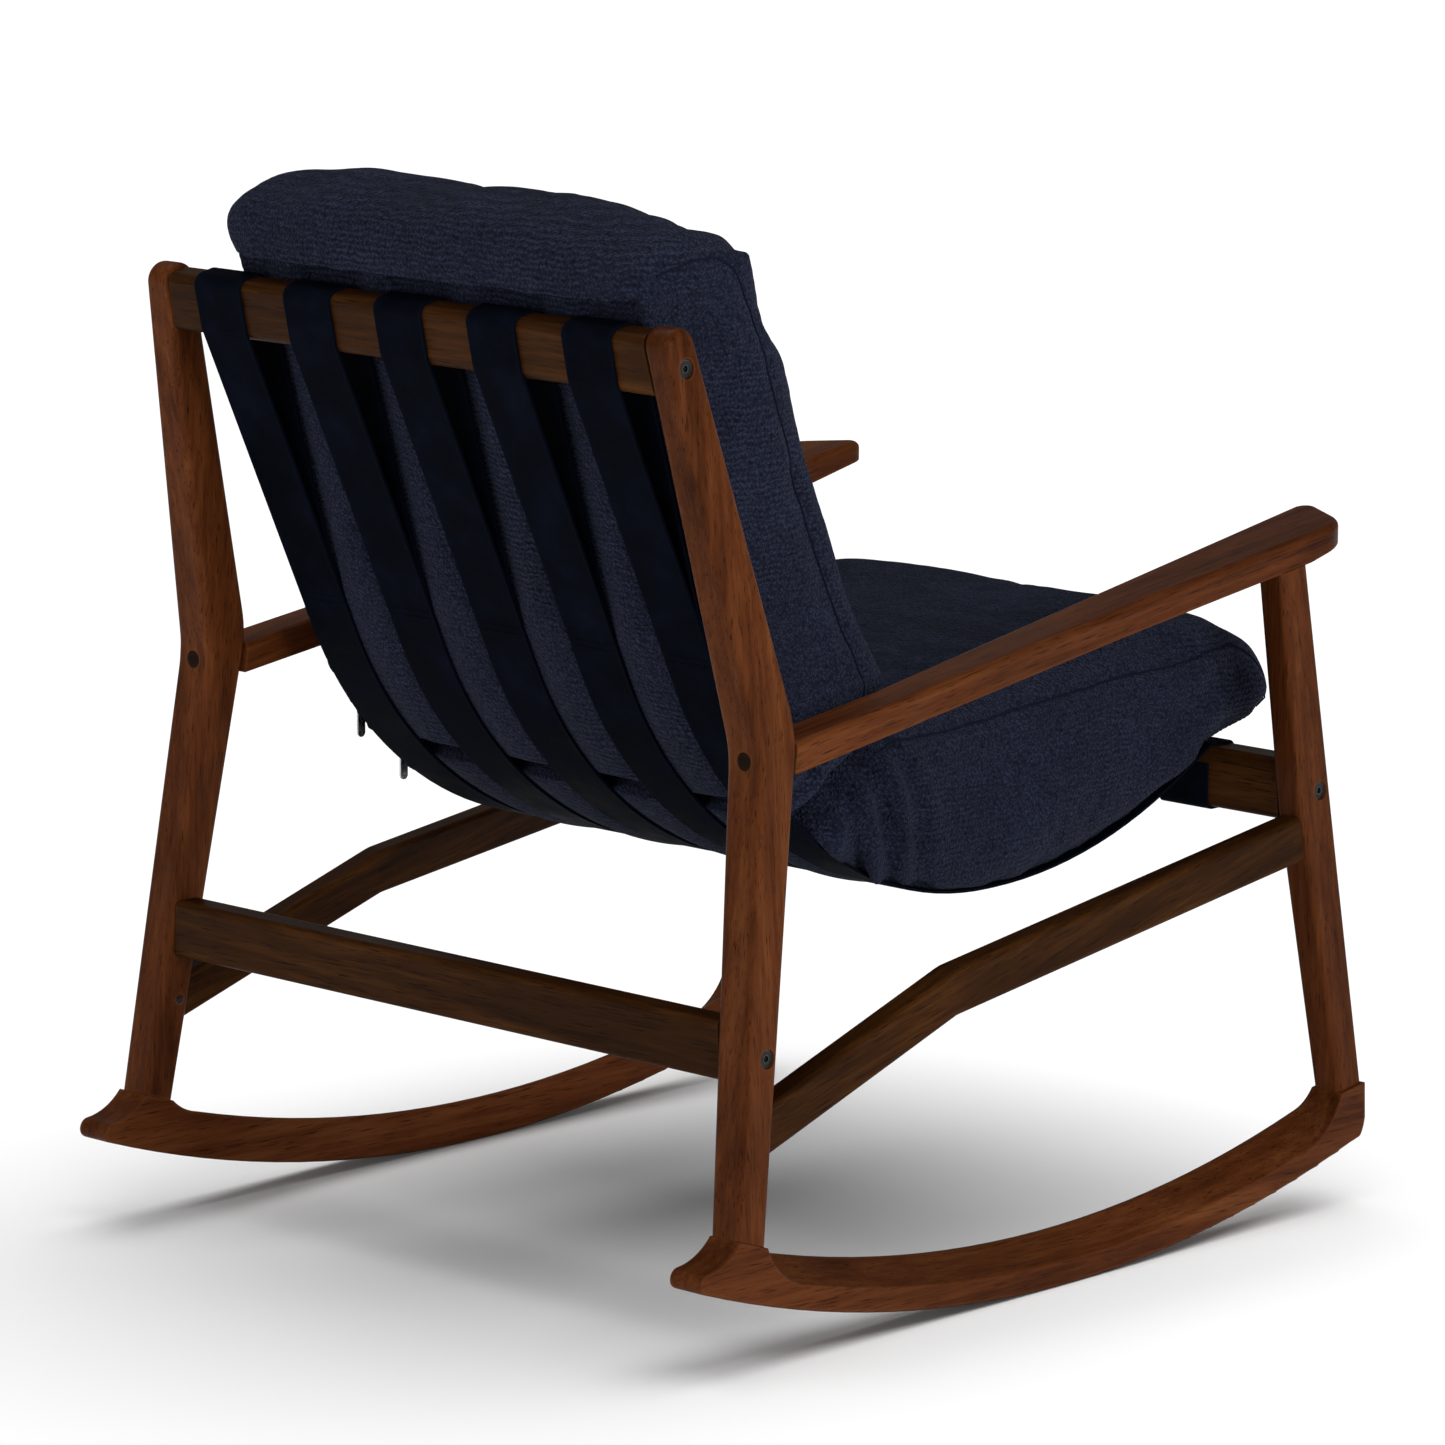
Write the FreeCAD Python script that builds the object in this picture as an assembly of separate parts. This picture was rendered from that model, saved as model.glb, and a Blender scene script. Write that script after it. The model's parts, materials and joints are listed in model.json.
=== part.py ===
import FreeCAD, Part
import math
import os

from FreeCAD import Vector

# Rocking chair: two hardwood side frames on curved rockers, three cross rails bolted
# between them, five webbing straps slung from the top rail to the front rail, and a
# two-part cushion lying in the sling.
#
# Millimetres, +Z up. The chair faces -Y and the sitter's left hand is on +X. The origin
# is on the floor, under the middle of the chair. Every side piece is drawn for the left
# side and mirrored for the right. Outlines are seen from the side, as (y, z, corner
# radius), unless a comment says otherwise.

# ---------------------------------------------------------------- driving dimensions
# rockers
ROCKER_RADIUS = 1237.0
ROCKER_LOW_Y = -9.5
ROCKER_INNER_X = 314.0
ROCKER_WIDTH = 32.0
RUNNER_HEIGHT_INNER = 37.5
RUNNER_HEIGHT_OUTER = 19.5
ROCKER_REAR_Y = 408.5
ROCKER_FRONT_Y = -375.5
ROCKER_EDGE = 2.5

# feet of the posts, where they stand on the rocker's pads: front point, rear point
REAR_FOOT = ((336.5, 94.6), (365.5, 104.0))
FRONT_FOOT = ((-374.5, 99.0), (-345.5, 94.5))

# rear post: bent forwards at the arm, thickest there
KINK_FRONT = (278.5, 477.0)
KINK_REAR = (318.5, 462.0)
KINK_RADIUS = 90.0
POST_TOP_FRONT = (356.0, 783.0)
POST_TOP_REAR = (386.0, 783.0)
POST_TOP_RADIUS = 14.5
REAR_POST_EDGE = 6.0

# how far from the middle the posts' faces stand, as (x, z) up the post
REAR_INNER = ((313.8, 92.0), (257.4, 783.0))
REAR_OUTER = ((345.2, 92.0), (322.2, 460.0), (283.8, 783.0))
FRONT_INNER = ((315.4, 92.0), (285.2, 530.0))
FRONT_OUTER = ((343.4, 92.0), (311.4, 530.0))

# front post
FRONT_POST_KNEE = (-311.5, 328.0)
FRONT_POST_BULGE = (-356.0, 275.0)
FRONT_POST_TOP_Y = (-330.5, -297.5)
FRONT_POST_EDGE = 5.0

# armrest: a paddle that rises to the front
ARM_REAR_Y = 277.5
ARM_TOP_REAR_Z = 468.0
ARM_SLOPE = 0.1385
ARM_THICKNESS = 23.5
ARM_NOSE_Y = -408.5
ARM_NOSE_THICKNESS = 9.0
ARM_BEVEL_Y = -336.0
ARM_EDGE = 5.5

# side stretcher
STRETCHER_DEPTH = 36.5
STRETCHER_THICKNESS = 22.0
STRETCHER_KNEE = (107.0, 250.0)
STRETCHER_REAR_Y = 323.0
STRETCHER_REAR_Z = 180.0
STRETCHER_FRONT_Y = -314.0
STRETCHER_FRONT_Z = 307.0
STRETCHER_EDGE = 4.0

# cross rails: middle (y, z), thickness, height, tilt in degrees, edge radius
TOP_RAIL = (365.3, 755.0, 26.0, 48.0, 12.3, 8.0)
REAR_STRETCHER = (331.0, 239.5, 26.0, 46.0, 0.0, 5.0)
FRONT_RAIL = (-328.0, 345.0, 30.0, 50.0, 0.0, 5.0)

# sling of five straps
STRAP_COUNT = 5
STRAP_PITCH = 100.5
STRAP_WIDTH = 50.8
STRAP_THICKNESS = 2.2
STRAP_GAP = 0.2
BACK_SAG_CENTRE = (-41.5, 627.0)
BACK_SAG_RADIUS = 334.0
SEAT_SAG_CENTRE = (-50.0, 780.0)
SEAT_SAG_RADIUS = 487.0
LAP_BELOW_RAIL = 205.0
LAP_LENGTH = 50.0
LAP_BEND_RADIUS = 60.0
STRAP_END_Z = 356.0

# cushions
CUSHION_HALF_WIDTH = 240.0
CUSHION_GAP = 4.0
CUSHION_EDGE = 9.0
CREASE = (99.0, 430.0)
CREASE_REAR = (180.0, 372.0)
CREASE_GAP = 1.2
COVER_THICKNESS = 2.5

# zips on the cushion's left side: start point, end point, as (y, z)
SEAT_ZIP = ((148.0, 371.0), (-285.0, 409.0))
BACK_ZIP = ((188.0, 408.0), (300.0, 694.0))
TAPE_WIDTH = 22.0
TAPE_THICKNESS = 0.8
CHAIN_WIDTH = 5.0
CHAIN_THICKNESS = 1.6
SLIDER_LENGTH = 11.0
SLIDER_WIDTH = 8.5
SLIDER_THICKNESS = 3.4
PULL_LENGTH = 30.0
PULL_WIDTH = 8.0
PULL_THICKNESS = 1.6
STUD_RADIUS = 1.5
STUD_CLEARANCE = 0.4
STUD_CAP_RADIUS = 2.8
STUD_CAP_THICKNESS = 1.0
ZIP_GAP = 0.3

# fasteners
BOLT_HEAD_RADIUS = 6.8
BOLT_HEAD_HEIGHT = 4.5
BOLT_SHANK_RADIUS = 3.0
BOLT_LENGTH = 66.0
HEX_SOCKET = 5.0
HEX_DEPTH = 3.0
RECESS_RADIUS = 7.4
RECESS_DEPTH = 1.6
NUT_RADIUS = 5.0
NUT_LENGTH = 15.0
NUT_FROM_HEAD = 54.0
TOP_BOLT = (365.5, 753.0)
REAR_BOLT = (327.5, 236.0)
FRONT_BOLT = (-335.5, 344.0)
DOWEL_RADIUS = 4.0
DOWEL_LENGTH = 34.0
FOOT_DOWEL_RADIUS = 5.0
FOOT_DOWEL_SPACING = 13.0
ARM_SCREW_RADIUS = 3.0
ARM_SCREW_LENGTH = 78.0
ARM_SCREW_HEAD_RADIUS = 5.5
ARM_SCREW_HEAD_HEIGHT = 4.0
PLUG_RADIUS = 7.0
PLUG_LENGTH = 9.0
ARM_SCREW_FACE_Y = 322.0
TENON_HEIGHT = 24.0
TENON_THICKNESS = 11.0
TENON_LENGTH = 24.0
LOCK_SCREW_RADIUS = 2.5
LOCK_SCREW_LENGTH = 24.0
LOCK_SCREW_HEAD_RADIUS = 4.5
LOCK_SCREW_HEAD_HEIGHT = 2.5

FAR = 700.0
X_AXIS = Vector(1, 0, 0)
Y_AXIS = Vector(0, 1, 0)
TINY = 1e-6


# ---------------------------------------------------------------- drawing helpers
def rounded_wire(corners):
    """A closed wire through (point, radius) corners, each rounded by its radius."""
    ends = []
    for i, (corner, radius) in enumerate(corners):
        to_last = (corners[i - 1][0] - corner).normalize()
        to_next = (corners[(i + 1) % len(corners)][0] - corner).normalize()
        half = to_last.getAngle(to_next) / 2
        inward = (to_last + to_next).normalize()
        reach = radius / math.tan(half)
        middle = corner + inward * (radius / math.sin(half) - radius)
        ends.append((corner + to_last * reach, middle, corner + to_next * reach))
    edges = []
    for i, (start, middle, end) in enumerate(ends):
        last_end = ends[i - 1][2]
        if last_end.distanceToPoint(start) > TINY:
            edges.append(Part.LineSegment(last_end, start).toShape())
        if start.distanceToPoint(end) > TINY:
            edges.append(Part.Arc(start, middle, end).toShape())
    return Part.Wire(edges)


def side_wire(corners, x=0.0):
    """A closed wire seen from the side, through (y, z, radius) corners."""
    return rounded_wire([(Vector(x, y, z), radius) for y, z, radius in corners])


def side_prism(corners, x_from, x_to):
    """A side outline, extruded across the chair."""
    face = Part.Face(side_wire(corners, x_from))
    return face.extrude(Vector(x_to - x_from, 0, 0))


def front_slab(inner, outer, kink_radius=0.0):
    """The space between two faces seen from the front, each given as (x, z) points."""
    corners = [(Vector(x, -FAR, z), 0.0) for x, z in inner]
    for i, (x, z) in reversed(list(enumerate(outer))):
        at_kink = 0 < i < len(outer) - 1
        corners.append((Vector(x, -FAR, z), kink_radius if at_kink else 0.0))
    return Part.Face(rounded_wire(corners)).extrude(Vector(0, 2 * FAR, 0))


def along(line, z):
    """Where a straight line of two points, given as (across, z), is at height z."""
    (a, z_a), (b, z_b) = line[0], line[-1]
    return a + (b - a) * (z - z_a) / (z_b - z_a)


def rod(start, direction, radius, length):
    return Part.makeCylinder(radius, length, start, direction)


def mirrored(shape):
    return shape.mirror(Vector(0, 0, 0), X_AXIS)


def both(shape):
    """A left-hand solid and its right-hand twin, in one node."""
    return Part.makeCompound([shape, mirrored(shape)])


def softened(shape, radius, wanted):
    """The shape with the wanted edges rounded."""
    edges = [edge for edge in shape.Edges if wanted(edge)]
    return shape.makeFillet(radius, edges)


def touches_plane(edge, point, normal):
    """Whether the whole edge lies in a plane."""
    ends = [edge.valueAt(edge.FirstParameter), edge.valueAt(edge.LastParameter)]
    return all(abs((end - point).dot(normal)) < 0.05 for end in ends)


# ---------------------------------------------------------------- sling
def heading_normal(heading):
    """The unit vector to the right of a heading, in the side view."""
    return Vector(0, math.sin(heading), -math.cos(heading))


class Bend:
    """A round that the sling runs about: turn is +1 to the left, -1 to the right."""

    def __init__(self, y, z, radius, turn):
        self.centre = Vector(0, y, z)
        self.radius = radius
        self.turn = turn

    def at(self, heading, offset):
        """The point on the run's left-hand offset line, where it has this heading."""
        reach = self.turn * self.radius - offset
        return self.centre + heading_normal(heading) * reach


def headings(bends):
    """The heading of each straight run between neighbouring bends."""
    found = []
    for one, two in zip(bends, bends[1:]):
        gap = two.centre - one.centre
        shift = one.turn * one.radius - two.turn * two.radius
        found.append(math.atan2(gap.z, gap.y) + math.asin(shift / gap.Length))
    return found


def run_edges(bends, offset):
    """Straight runs and tangent arcs of a band's face, offset to the left of its line."""
    runs = headings(bends)
    edges = []
    for i, heading in enumerate(runs):
        start = bends[i].at(heading, offset)
        end = bends[i + 1].at(heading, offset)
        edges.append(Part.LineSegment(start, end).toShape())
        if i + 1 < len(runs):
            bend = bends[i + 1]
            swing = math.remainder(runs[i + 1] - heading, 2 * math.pi)
            middle = bend.at(heading + swing / 2, offset)
            last = bend.at(heading + swing, offset)
            edges.append(Part.Arc(end, middle, last).toShape())
    return edges


def band(bends, thickness, x_from, x_to):
    """A flat band that follows the bends, its right-hand face on their line."""
    near = Part.Wire(run_edges(bends, 0.0))
    far = Part.Wire(run_edges(bends, thickness))
    caps = []
    for which in (0, -1):
        ends = (near.OrderedVertexes[which].Point, far.OrderedVertexes[which].Point)
        caps.append(Part.LineSegment(*ends).toShape())
    outline = Part.Wire(Part.__sortEdges__(near.Edges + far.Edges + caps))
    face = Part.Face(outline)
    face.translate(Vector(x_from, 0, 0))
    return face.extrude(Vector(x_to - x_from, 0, 0))


def rail_corner(rail, rear, top):
    """The centre of one rounded edge of a rail: rear and top are +1 or -1."""
    y, z, thickness, height, tilt, edge = rail
    lean = math.radians(tilt)
    across = rear * (thickness / 2 - edge)
    up = top * (height / 2 - edge)
    corner_y = y + across * math.cos(lean) + up * math.sin(lean)
    corner_z = z - across * math.sin(lean) + up * math.cos(lean)
    return corner_y, corner_z


def sling_bends():
    """The bends of the main band, from over the top rail to under the front rail."""
    top_round = TOP_RAIL[5] + STRAP_GAP
    front_round = FRONT_RAIL[5] + STRAP_GAP + STRAP_THICKNESS
    bends = [
        Bend(*rail_corner(TOP_RAIL, -1, 1), top_round, -1),
        Bend(*rail_corner(TOP_RAIL, 1, 1), top_round, -1),
        Bend(*rail_corner(TOP_RAIL, 1, -1), top_round, -1),
        Bend(*BACK_SAG_CENTRE, BACK_SAG_RADIUS - STRAP_THICKNESS, -1),
        Bend(*SEAT_SAG_CENTRE, SEAT_SAG_RADIUS - STRAP_THICKNESS, -1),
    ]
    for rear, top in ((1, 1), (-1, 1), (-1, -1), (1, -1)):
        bends.append(Bend(*rail_corner(FRONT_RAIL, rear, top), front_round, 1))
    rear_face = FRONT_RAIL[0] + FRONT_RAIL[2] / 2 + STRAP_GAP + STRAP_THICKNESS
    bends.append(Bend(rear_face, STRAP_END_Z, 0.0, 1))
    return bends


def lap_bends():
    """The sewn lap below the top rail, and the bend where its two legs part."""
    bends = sling_bends()
    down = headings(bends)[2]
    run = Vector(0, math.cos(down), math.sin(down))
    joint = bends[2].at(down, 0.0) + run * LAP_BELOW_RAIL
    centre = joint + heading_normal(down) * LAP_BEND_RADIUS
    end = joint + run * LAP_LENGTH
    return [Bend(end.y, end.z, 0.0, 1), Bend(centre.y, centre.z, LAP_BEND_RADIUS, 1)]


def make_strap(x_middle):
    """One strap: a loop over the top rail, sewn shut, and the long run to the front rail."""
    x_from = x_middle - STRAP_WIDTH / 2
    x_to = x_middle + STRAP_WIDTH / 2
    bends = sling_bends()
    lap = lap_bends()
    leg = band(lap + bends[:1], STRAP_THICKNESS, x_from, x_to)
    main = band(lap[1:] + bends, STRAP_THICKNESS, x_from, x_to)
    return leg.fuse(main).removeSplitter()


# ---------------------------------------------------------------- wood
def rocker_arc_z(y, height):
    """Height above the floor of the arc that runs this far above the rocker's tread."""
    radius = ROCKER_RADIUS - height
    return ROCKER_RADIUS - math.sqrt(radius ** 2 - (y - ROCKER_LOW_Y) ** 2)


def rocker_wire(x, height, front_run_y, front_dip, rear_run_y, rear_dip):
    """The rocker's side outline at one face, with its runner this high."""
    def at(y, z):
        return Vector(x, y, z)

    def arc(start, middle, end):
        return Part.Arc(at(*start), at(*middle), at(*end)).toShape()

    def line(start, end):
        return Part.LineSegment(at(*start), at(*end)).toShape()

    def run(y, h):
        return (y, rocker_arc_z(y, h))

    tread_rear = run(ROCKER_REAR_Y - 3.0, 0.0)
    tread_front = run(ROCKER_FRONT_Y + 7.0, 0.0)
    tip_top = (ROCKER_REAR_Y - 8.0, 86.5)
    nose = (ROCKER_FRONT_Y, 70.0)
    return Part.Wire([
        arc(tread_rear, run(0.0, 0.0), tread_front),
        arc(tread_front, (ROCKER_FRONT_Y + 1.8, 62.5), nose),
        line(nose, FRONT_FOOT[0]),
        line(FRONT_FOOT[0], FRONT_FOOT[1]),
        arc(FRONT_FOOT[1], front_dip, run(front_run_y, height)),
        arc(run(front_run_y, height), run(0.0, height), run(rear_run_y, height)),
        arc(run(rear_run_y, height), rear_dip, REAR_FOOT[0]),
        line(REAR_FOOT[0], REAR_FOOT[1]),
        arc(REAR_FOOT[1], (381.0, 92.0), tip_top),
        arc(tip_top, (ROCKER_REAR_Y, 79.5), tread_rear),
    ])


def make_rocker():
    inner = rocker_wire(ROCKER_INNER_X, RUNNER_HEIGHT_INNER,
                        -322.0, (-335.0, 84.5), 312.0, (325.5, 86.3))
    outer = rocker_wire(ROCKER_INNER_X + ROCKER_WIDTH, RUNNER_HEIGHT_OUTER,
                        -285.0, (-327.5, 68.0), 300.0, (321.5, 72.5))
    body = Part.makeLoft([inner, outer], True, True)
    return softened(body, ROCKER_EDGE, is_tread_arris)


def is_tread_arris(edge):
    """Whether an edge is one of the rocker's two long lower corners."""
    box = edge.BoundBox
    return box.XLength < 1.0 and box.YLength > ROCKER_WIDTH and box.ZMin < 1.0


def rear_post_blank():
    outline = [
        (*REAR_FOOT[0], 0.0),
        (*REAR_FOOT[1], 0.0),
        (*KINK_REAR, KINK_RADIUS),
        (*POST_TOP_REAR, POST_TOP_RADIUS),
        (*POST_TOP_FRONT, POST_TOP_RADIUS),
        (*KINK_FRONT, KINK_RADIUS),
    ]
    return side_prism(outline, 0.0, FAR)


def make_rear_post():
    body = rear_post_blank().common(front_slab(REAR_INNER, REAR_OUTER, KINK_RADIUS))
    foot = Vector(0, *REAR_FOOT[0])
    foot_run = Vector(0, *REAR_FOOT[1]) - foot
    foot_normal = foot_run.cross(X_AXIS).normalize()

    def arris(edge):
        on_foot = touches_plane(edge, foot, foot_normal)
        return not on_foot and not is_crosswise(edge)

    return softened(body, REAR_POST_EDGE, arris)


def is_crosswise(edge):
    """Whether an edge runs straight across the chair."""
    box = edge.BoundBox
    return box.YLength < 0.5 and box.XLength > 5.0


def arm_top_z(y):
    return ARM_TOP_REAR_Z + (ARM_REAR_Y - y) * ARM_SLOPE


def arm_bottom_z(y):
    return arm_top_z(y) - ARM_THICKNESS


def front_post_blank():
    top_front, top_rear = FRONT_POST_TOP_Y
    outline = [
        (*FRONT_FOOT[0], 0.0),
        (*FRONT_FOOT[1], 0.0),
        (*FRONT_POST_KNEE, KINK_RADIUS),
        (top_rear, arm_bottom_z(top_rear), 0.0),
        (top_front, arm_bottom_z(top_front), 0.0),
        (*FRONT_POST_BULGE, KINK_RADIUS),
    ]
    return side_prism(outline, 0.0, FAR)


def make_front_post():
    body = front_post_blank().common(front_slab(FRONT_INNER, FRONT_OUTER))
    return softened(body, FRONT_POST_EDGE, lambda edge: edge.BoundBox.ZLength > FRONT_RAIL[3])


def make_armrest():
    """The paddle seen from above, cut to the arm's side view and coped to the rear post."""
    low = arm_bottom_z(ARM_REAR_Y) - ARM_THICKNESS
    plan = [
        (Vector(322.0, ARM_REAR_Y + ARM_THICKNESS, low), 0.0),
        (Vector(281.5, ARM_REAR_Y + ARM_THICKNESS, low), 0.0),
        (Vector(280.5, 150.0, low), 700.0),
        (Vector(240.6, ARM_NOSE_Y - 7.3, low), 12.0),
        (Vector(311.0, -379.0, low), 38.0),
        (Vector(311.0, -105.0, low), 2500.0),
    ]
    blank = Part.Face(rounded_wire(plan)).extrude(Vector(0, 0, FAR))
    front = ARM_NOSE_Y - ARM_THICKNESS
    rear = ARM_REAR_Y + 2 * ARM_THICKNESS
    side = [
        (rear, arm_top_z(rear), 0.0),
        (front, arm_top_z(front), 0.0),
        (front, arm_top_z(ARM_NOSE_Y) - ARM_NOSE_THICKNESS, 0.0),
        (ARM_BEVEL_Y, arm_bottom_z(ARM_BEVEL_Y), 25.0),
        (rear, arm_bottom_z(rear), 0.0),
    ]
    body = blank.common(side_prism(side, 0.0, FAR)).cut(rear_post_blank())

    def arris(edge):
        box = edge.BoundBox
        on_top = abs(box.Center.z - arm_top_z(box.Center.y)) < 1.0
        return on_top and box.YMin < ARM_REAR_Y - ARM_THICKNESS and not is_vertical(edge)

    return softened(body, ARM_EDGE, arris)


def is_vertical(edge):
    box = edge.BoundBox
    return box.XLength < 0.5 and box.YLength < 0.5


def stretcher_slope(y, z):
    knee_y, knee_z = STRETCHER_KNEE
    return (z - knee_z) / (y - knee_y)


def stretcher_x(z):
    """The middle of a side frame's thickness at this height."""
    inner = along(REAR_INNER, z)
    outer = along(REAR_OUTER[:2], z)
    return (inner + outer) / 2


def make_side_stretcher():
    """The boomerang between the posts, with a stub tenon into the rear post."""
    knee_y, knee_z = STRETCHER_KNEE
    half = STRETCHER_DEPTH / 2
    rear_y = REAR_FOOT[0][0] + TENON_THICKNESS
    front_y = FRONT_FOOT[1][0] + TENON_THICKNESS
    rear_slope = stretcher_slope(STRETCHER_REAR_Y, STRETCHER_REAR_Z)
    rear_z = knee_z + rear_slope * (rear_y - knee_y)
    front_z = knee_z + stretcher_slope(STRETCHER_FRONT_Y, STRETCHER_FRONT_Z) * (front_y - knee_y)
    outline = [
        (rear_y, rear_z - half, 0.0),
        (knee_y, knee_z - half, STRETCHER_DEPTH),
        (front_y, front_z - half, 0.0),
        (front_y, front_z + half, 0.0),
        (knee_y, knee_z + half, STRETCHER_DEPTH),
        (rear_y, rear_z + half, 0.0),
    ]
    shift = STRETCHER_THICKNESS / 2
    heights = (0.0, KINK_REAR[1])
    slab = front_slab([(stretcher_x(z) - shift, z) for z in heights],
                      [(stretcher_x(z) + shift, z) for z in heights])
    body = side_prism(outline, 0.0, FAR).common(slab)
    body = body.cut(rear_post_blank()).cut(front_post_blank())
    body = softened(body, STRETCHER_EDGE, lambda edge: edge.BoundBox.YLength > TENON_LENGTH)
    corner = Vector(stretcher_x(STRETCHER_REAR_Z) - TENON_THICKNESS / 2,
                    STRETCHER_REAR_Y - TENON_THICKNESS, STRETCHER_REAR_Z - TENON_HEIGHT / 2)
    tenon = Part.makeBox(TENON_THICKNESS, TENON_THICKNESS + TENON_LENGTH, TENON_HEIGHT, corner)
    pivot = Vector(0, STRETCHER_REAR_Y, STRETCHER_REAR_Z)
    tenon.rotate(pivot, X_AXIS, math.degrees(math.atan(rear_slope)))
    return body.fuse(tenon), tenon


def make_rail(rail, inner_faces):
    """A cross rail of rounded section, cut to the posts' inner faces."""
    y, z, thickness, height, tilt, edge = rail
    half_t = thickness / 2
    half_h = height / 2
    outline = [
        (y - half_t, z - half_h, edge),
        (y + half_t, z - half_h, edge),
        (y + half_t, z + half_h, edge),
        (y - half_t, z + half_h, edge),
    ]
    body = side_prism(outline, -FAR, FAR)
    body.rotate(Vector(0, y, z), X_AXIS, -tilt)
    right = [(-x, height_z) for x, height_z in inner_faces]
    return body.common(front_slab(right, inner_faces))


# ---------------------------------------------------------------- fasteners
def hex_prism(centre, width, depth):
    """A hexagonal socket, cut from the left-hand side inwards."""
    reach = width / math.sqrt(3)
    corners = []
    for i in range(7):
        turn = math.radians(60 * i)
        corners.append(centre + Vector(0, reach * math.cos(turn), reach * math.sin(turn)))
    return Part.Face(Part.makePolygon(corners)).extrude(Vector(-depth, 0, 0))


def make_bolt(head_x, y, z):
    """A socket-head bolt that runs inwards, along -X, from its head's outer face."""
    top = Vector(head_x, y, z)
    inwards = Vector(-1, 0, 0)
    head = rod(top, inwards, BOLT_HEAD_RADIUS, BOLT_HEAD_HEIGHT)
    shank = rod(top, inwards, BOLT_SHANK_RADIUS, BOLT_LENGTH)
    return head.fuse(shank).removeSplitter().cut(hex_prism(top, HEX_SOCKET, HEX_DEPTH))


def make_nut(head_x, y, z, axis):
    """A barrel nut that lies across the bolt."""
    centre = Vector(head_x - NUT_FROM_HEAD, y, z)
    barrel = rod(centre - axis * (NUT_LENGTH / 2), axis, NUT_RADIUS, NUT_LENGTH)
    thread = rod(centre + X_AXIS * NUT_RADIUS * 2, Vector(-1, 0, 0),
                 BOLT_SHANK_RADIUS, NUT_RADIUS * 4)
    return barrel.cut(thread)


def bolted_joint(post, rail, y, z, outer_faces, axis):
    """Drill a post and its rail for one bolt. Return both, with the bolt and its nut."""
    head_x = along(outer_faces, z) - RECESS_DEPTH
    start = Vector(head_x, y, z)
    inwards = Vector(-1, 0, 0)
    hole = rod(start, inwards, BOLT_SHANK_RADIUS + 0.3, BOLT_LENGTH + 1.0)
    recess = rod(start + Vector(20, 0, 0), inwards, RECESS_RADIUS, 20 + BOLT_HEAD_HEIGHT)
    nut_centre = start + inwards * NUT_FROM_HEAD
    pocket = rod(nut_centre - axis * (NUT_LENGTH / 2), axis, NUT_RADIUS + 0.1, FAR)
    drilled_post = post.cut(recess).cut(hole)
    drilled_rail = rail.cut(hole).cut(pocket)
    drilled_rail = drilled_rail.cut(mirrored(hole)).cut(mirrored(pocket))
    return drilled_post, drilled_rail, make_bolt(head_x, y, z), make_nut(head_x, y, z, axis)


# ---------------------------------------------------------------- cushions
def sling_space(inset):
    """The space in and over the sling, this far clear of the straps' upper faces."""
    bends = sling_bends()
    edges = run_edges(bends[2:7], -CUSHION_GAP - inset)
    start = edges[0].Vertexes[0].Point
    end = edges[-1].Vertexes[-1].Point
    over = [end, Vector(0, -FAR, end.z), Vector(0, -FAR, 2 * FAR), Vector(0, start.y, 2 * FAR), start]
    face = Part.Face(Part.Wire(edges + Part.makePolygon(over).Edges))
    face.translate(Vector(-FAR, 0, 0))
    space = face.extrude(Vector(2 * FAR, 0, 0))
    return space.cut(lap_side(inset))


def lap_side(inset):
    """The space behind the front legs of the straps."""
    lap = lap_bends()
    corner = sling_bends()[0]
    up, rise = headings(lap + [corner])
    clear = STRAP_THICKNESS + CUSHION_GAP + inset
    lower = Vector(0, math.cos(up), math.sin(up)) * clear
    foot = lap[0].at(up, clear) - lower
    bend = lap[1].at(up, clear)
    top = corner.at(rise, clear)
    beyond = top + (top - lap[1].at(rise, clear))
    outline = [(foot.y, foot.z, 0.0), (bend.y, bend.z, 0.0), (beyond.y, beyond.z, 0.0),
               (FAR, beyond.z, 0.0), (FAR, foot.z, 0.0)]
    return side_prism(outline, -FAR, FAR)


def seat_outline():
    return [
        (*CREASE, 12.0),
        (*CREASE_REAR, 0.0),
        (CREASE_REAR[0] - 40.0, 250.0, 0.0),
        (-300.0, 250.0, 0.0),
        (-366.0, 397.0, 30.0),
        (-360.0, 472.0, 42.0),
    ]


def back_outline():
    return [
        (CREASE[0] + 2.0, CREASE[1] + CREASE_GAP + 1.0, 10.0),
        (153.0, 579.0, 90.0),
        (250.0, 815.0, 90.0),
        (257.0, 853.0, 34.0),
        (302.0, 866.5, 60.0),
        (372.0, 838.0, 50.0),
        (420.0, 820.0, 0.0),
        (330.0, 400.0, 0.0),
        (CREASE_REAR[0] + CREASE_GAP, CREASE_REAR[1] + CREASE_GAP, 0.0),
    ]


def make_cushion(outline, edge_radius):
    """A cushion lying in the sling: its cover, and the foam inside the cover."""
    blank = side_wire(outline)
    solids = []
    for inset in (0.0, COVER_THICKNESS):
        wire = blank if inset == 0.0 else blank.makeOffset2D(-inset, 2)
        half = CUSHION_HALF_WIDTH - inset
        face = Part.Face(wire)
        face.translate(Vector(-half, 0, 0))
        solid = softened(face.extrude(Vector(2 * half, 0, 0)), edge_radius - inset,
                         is_side_edge(half))
        solids.append(solid.common(sling_space(inset)))
    whole, foam = solids
    return whole.cut(foam), foam


def is_side_edge(half):
    def wanted(edge):
        box = edge.BoundBox
        return box.XLength < 0.1 and abs(abs(box.XMin) - half) < 0.1
    return wanted


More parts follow.
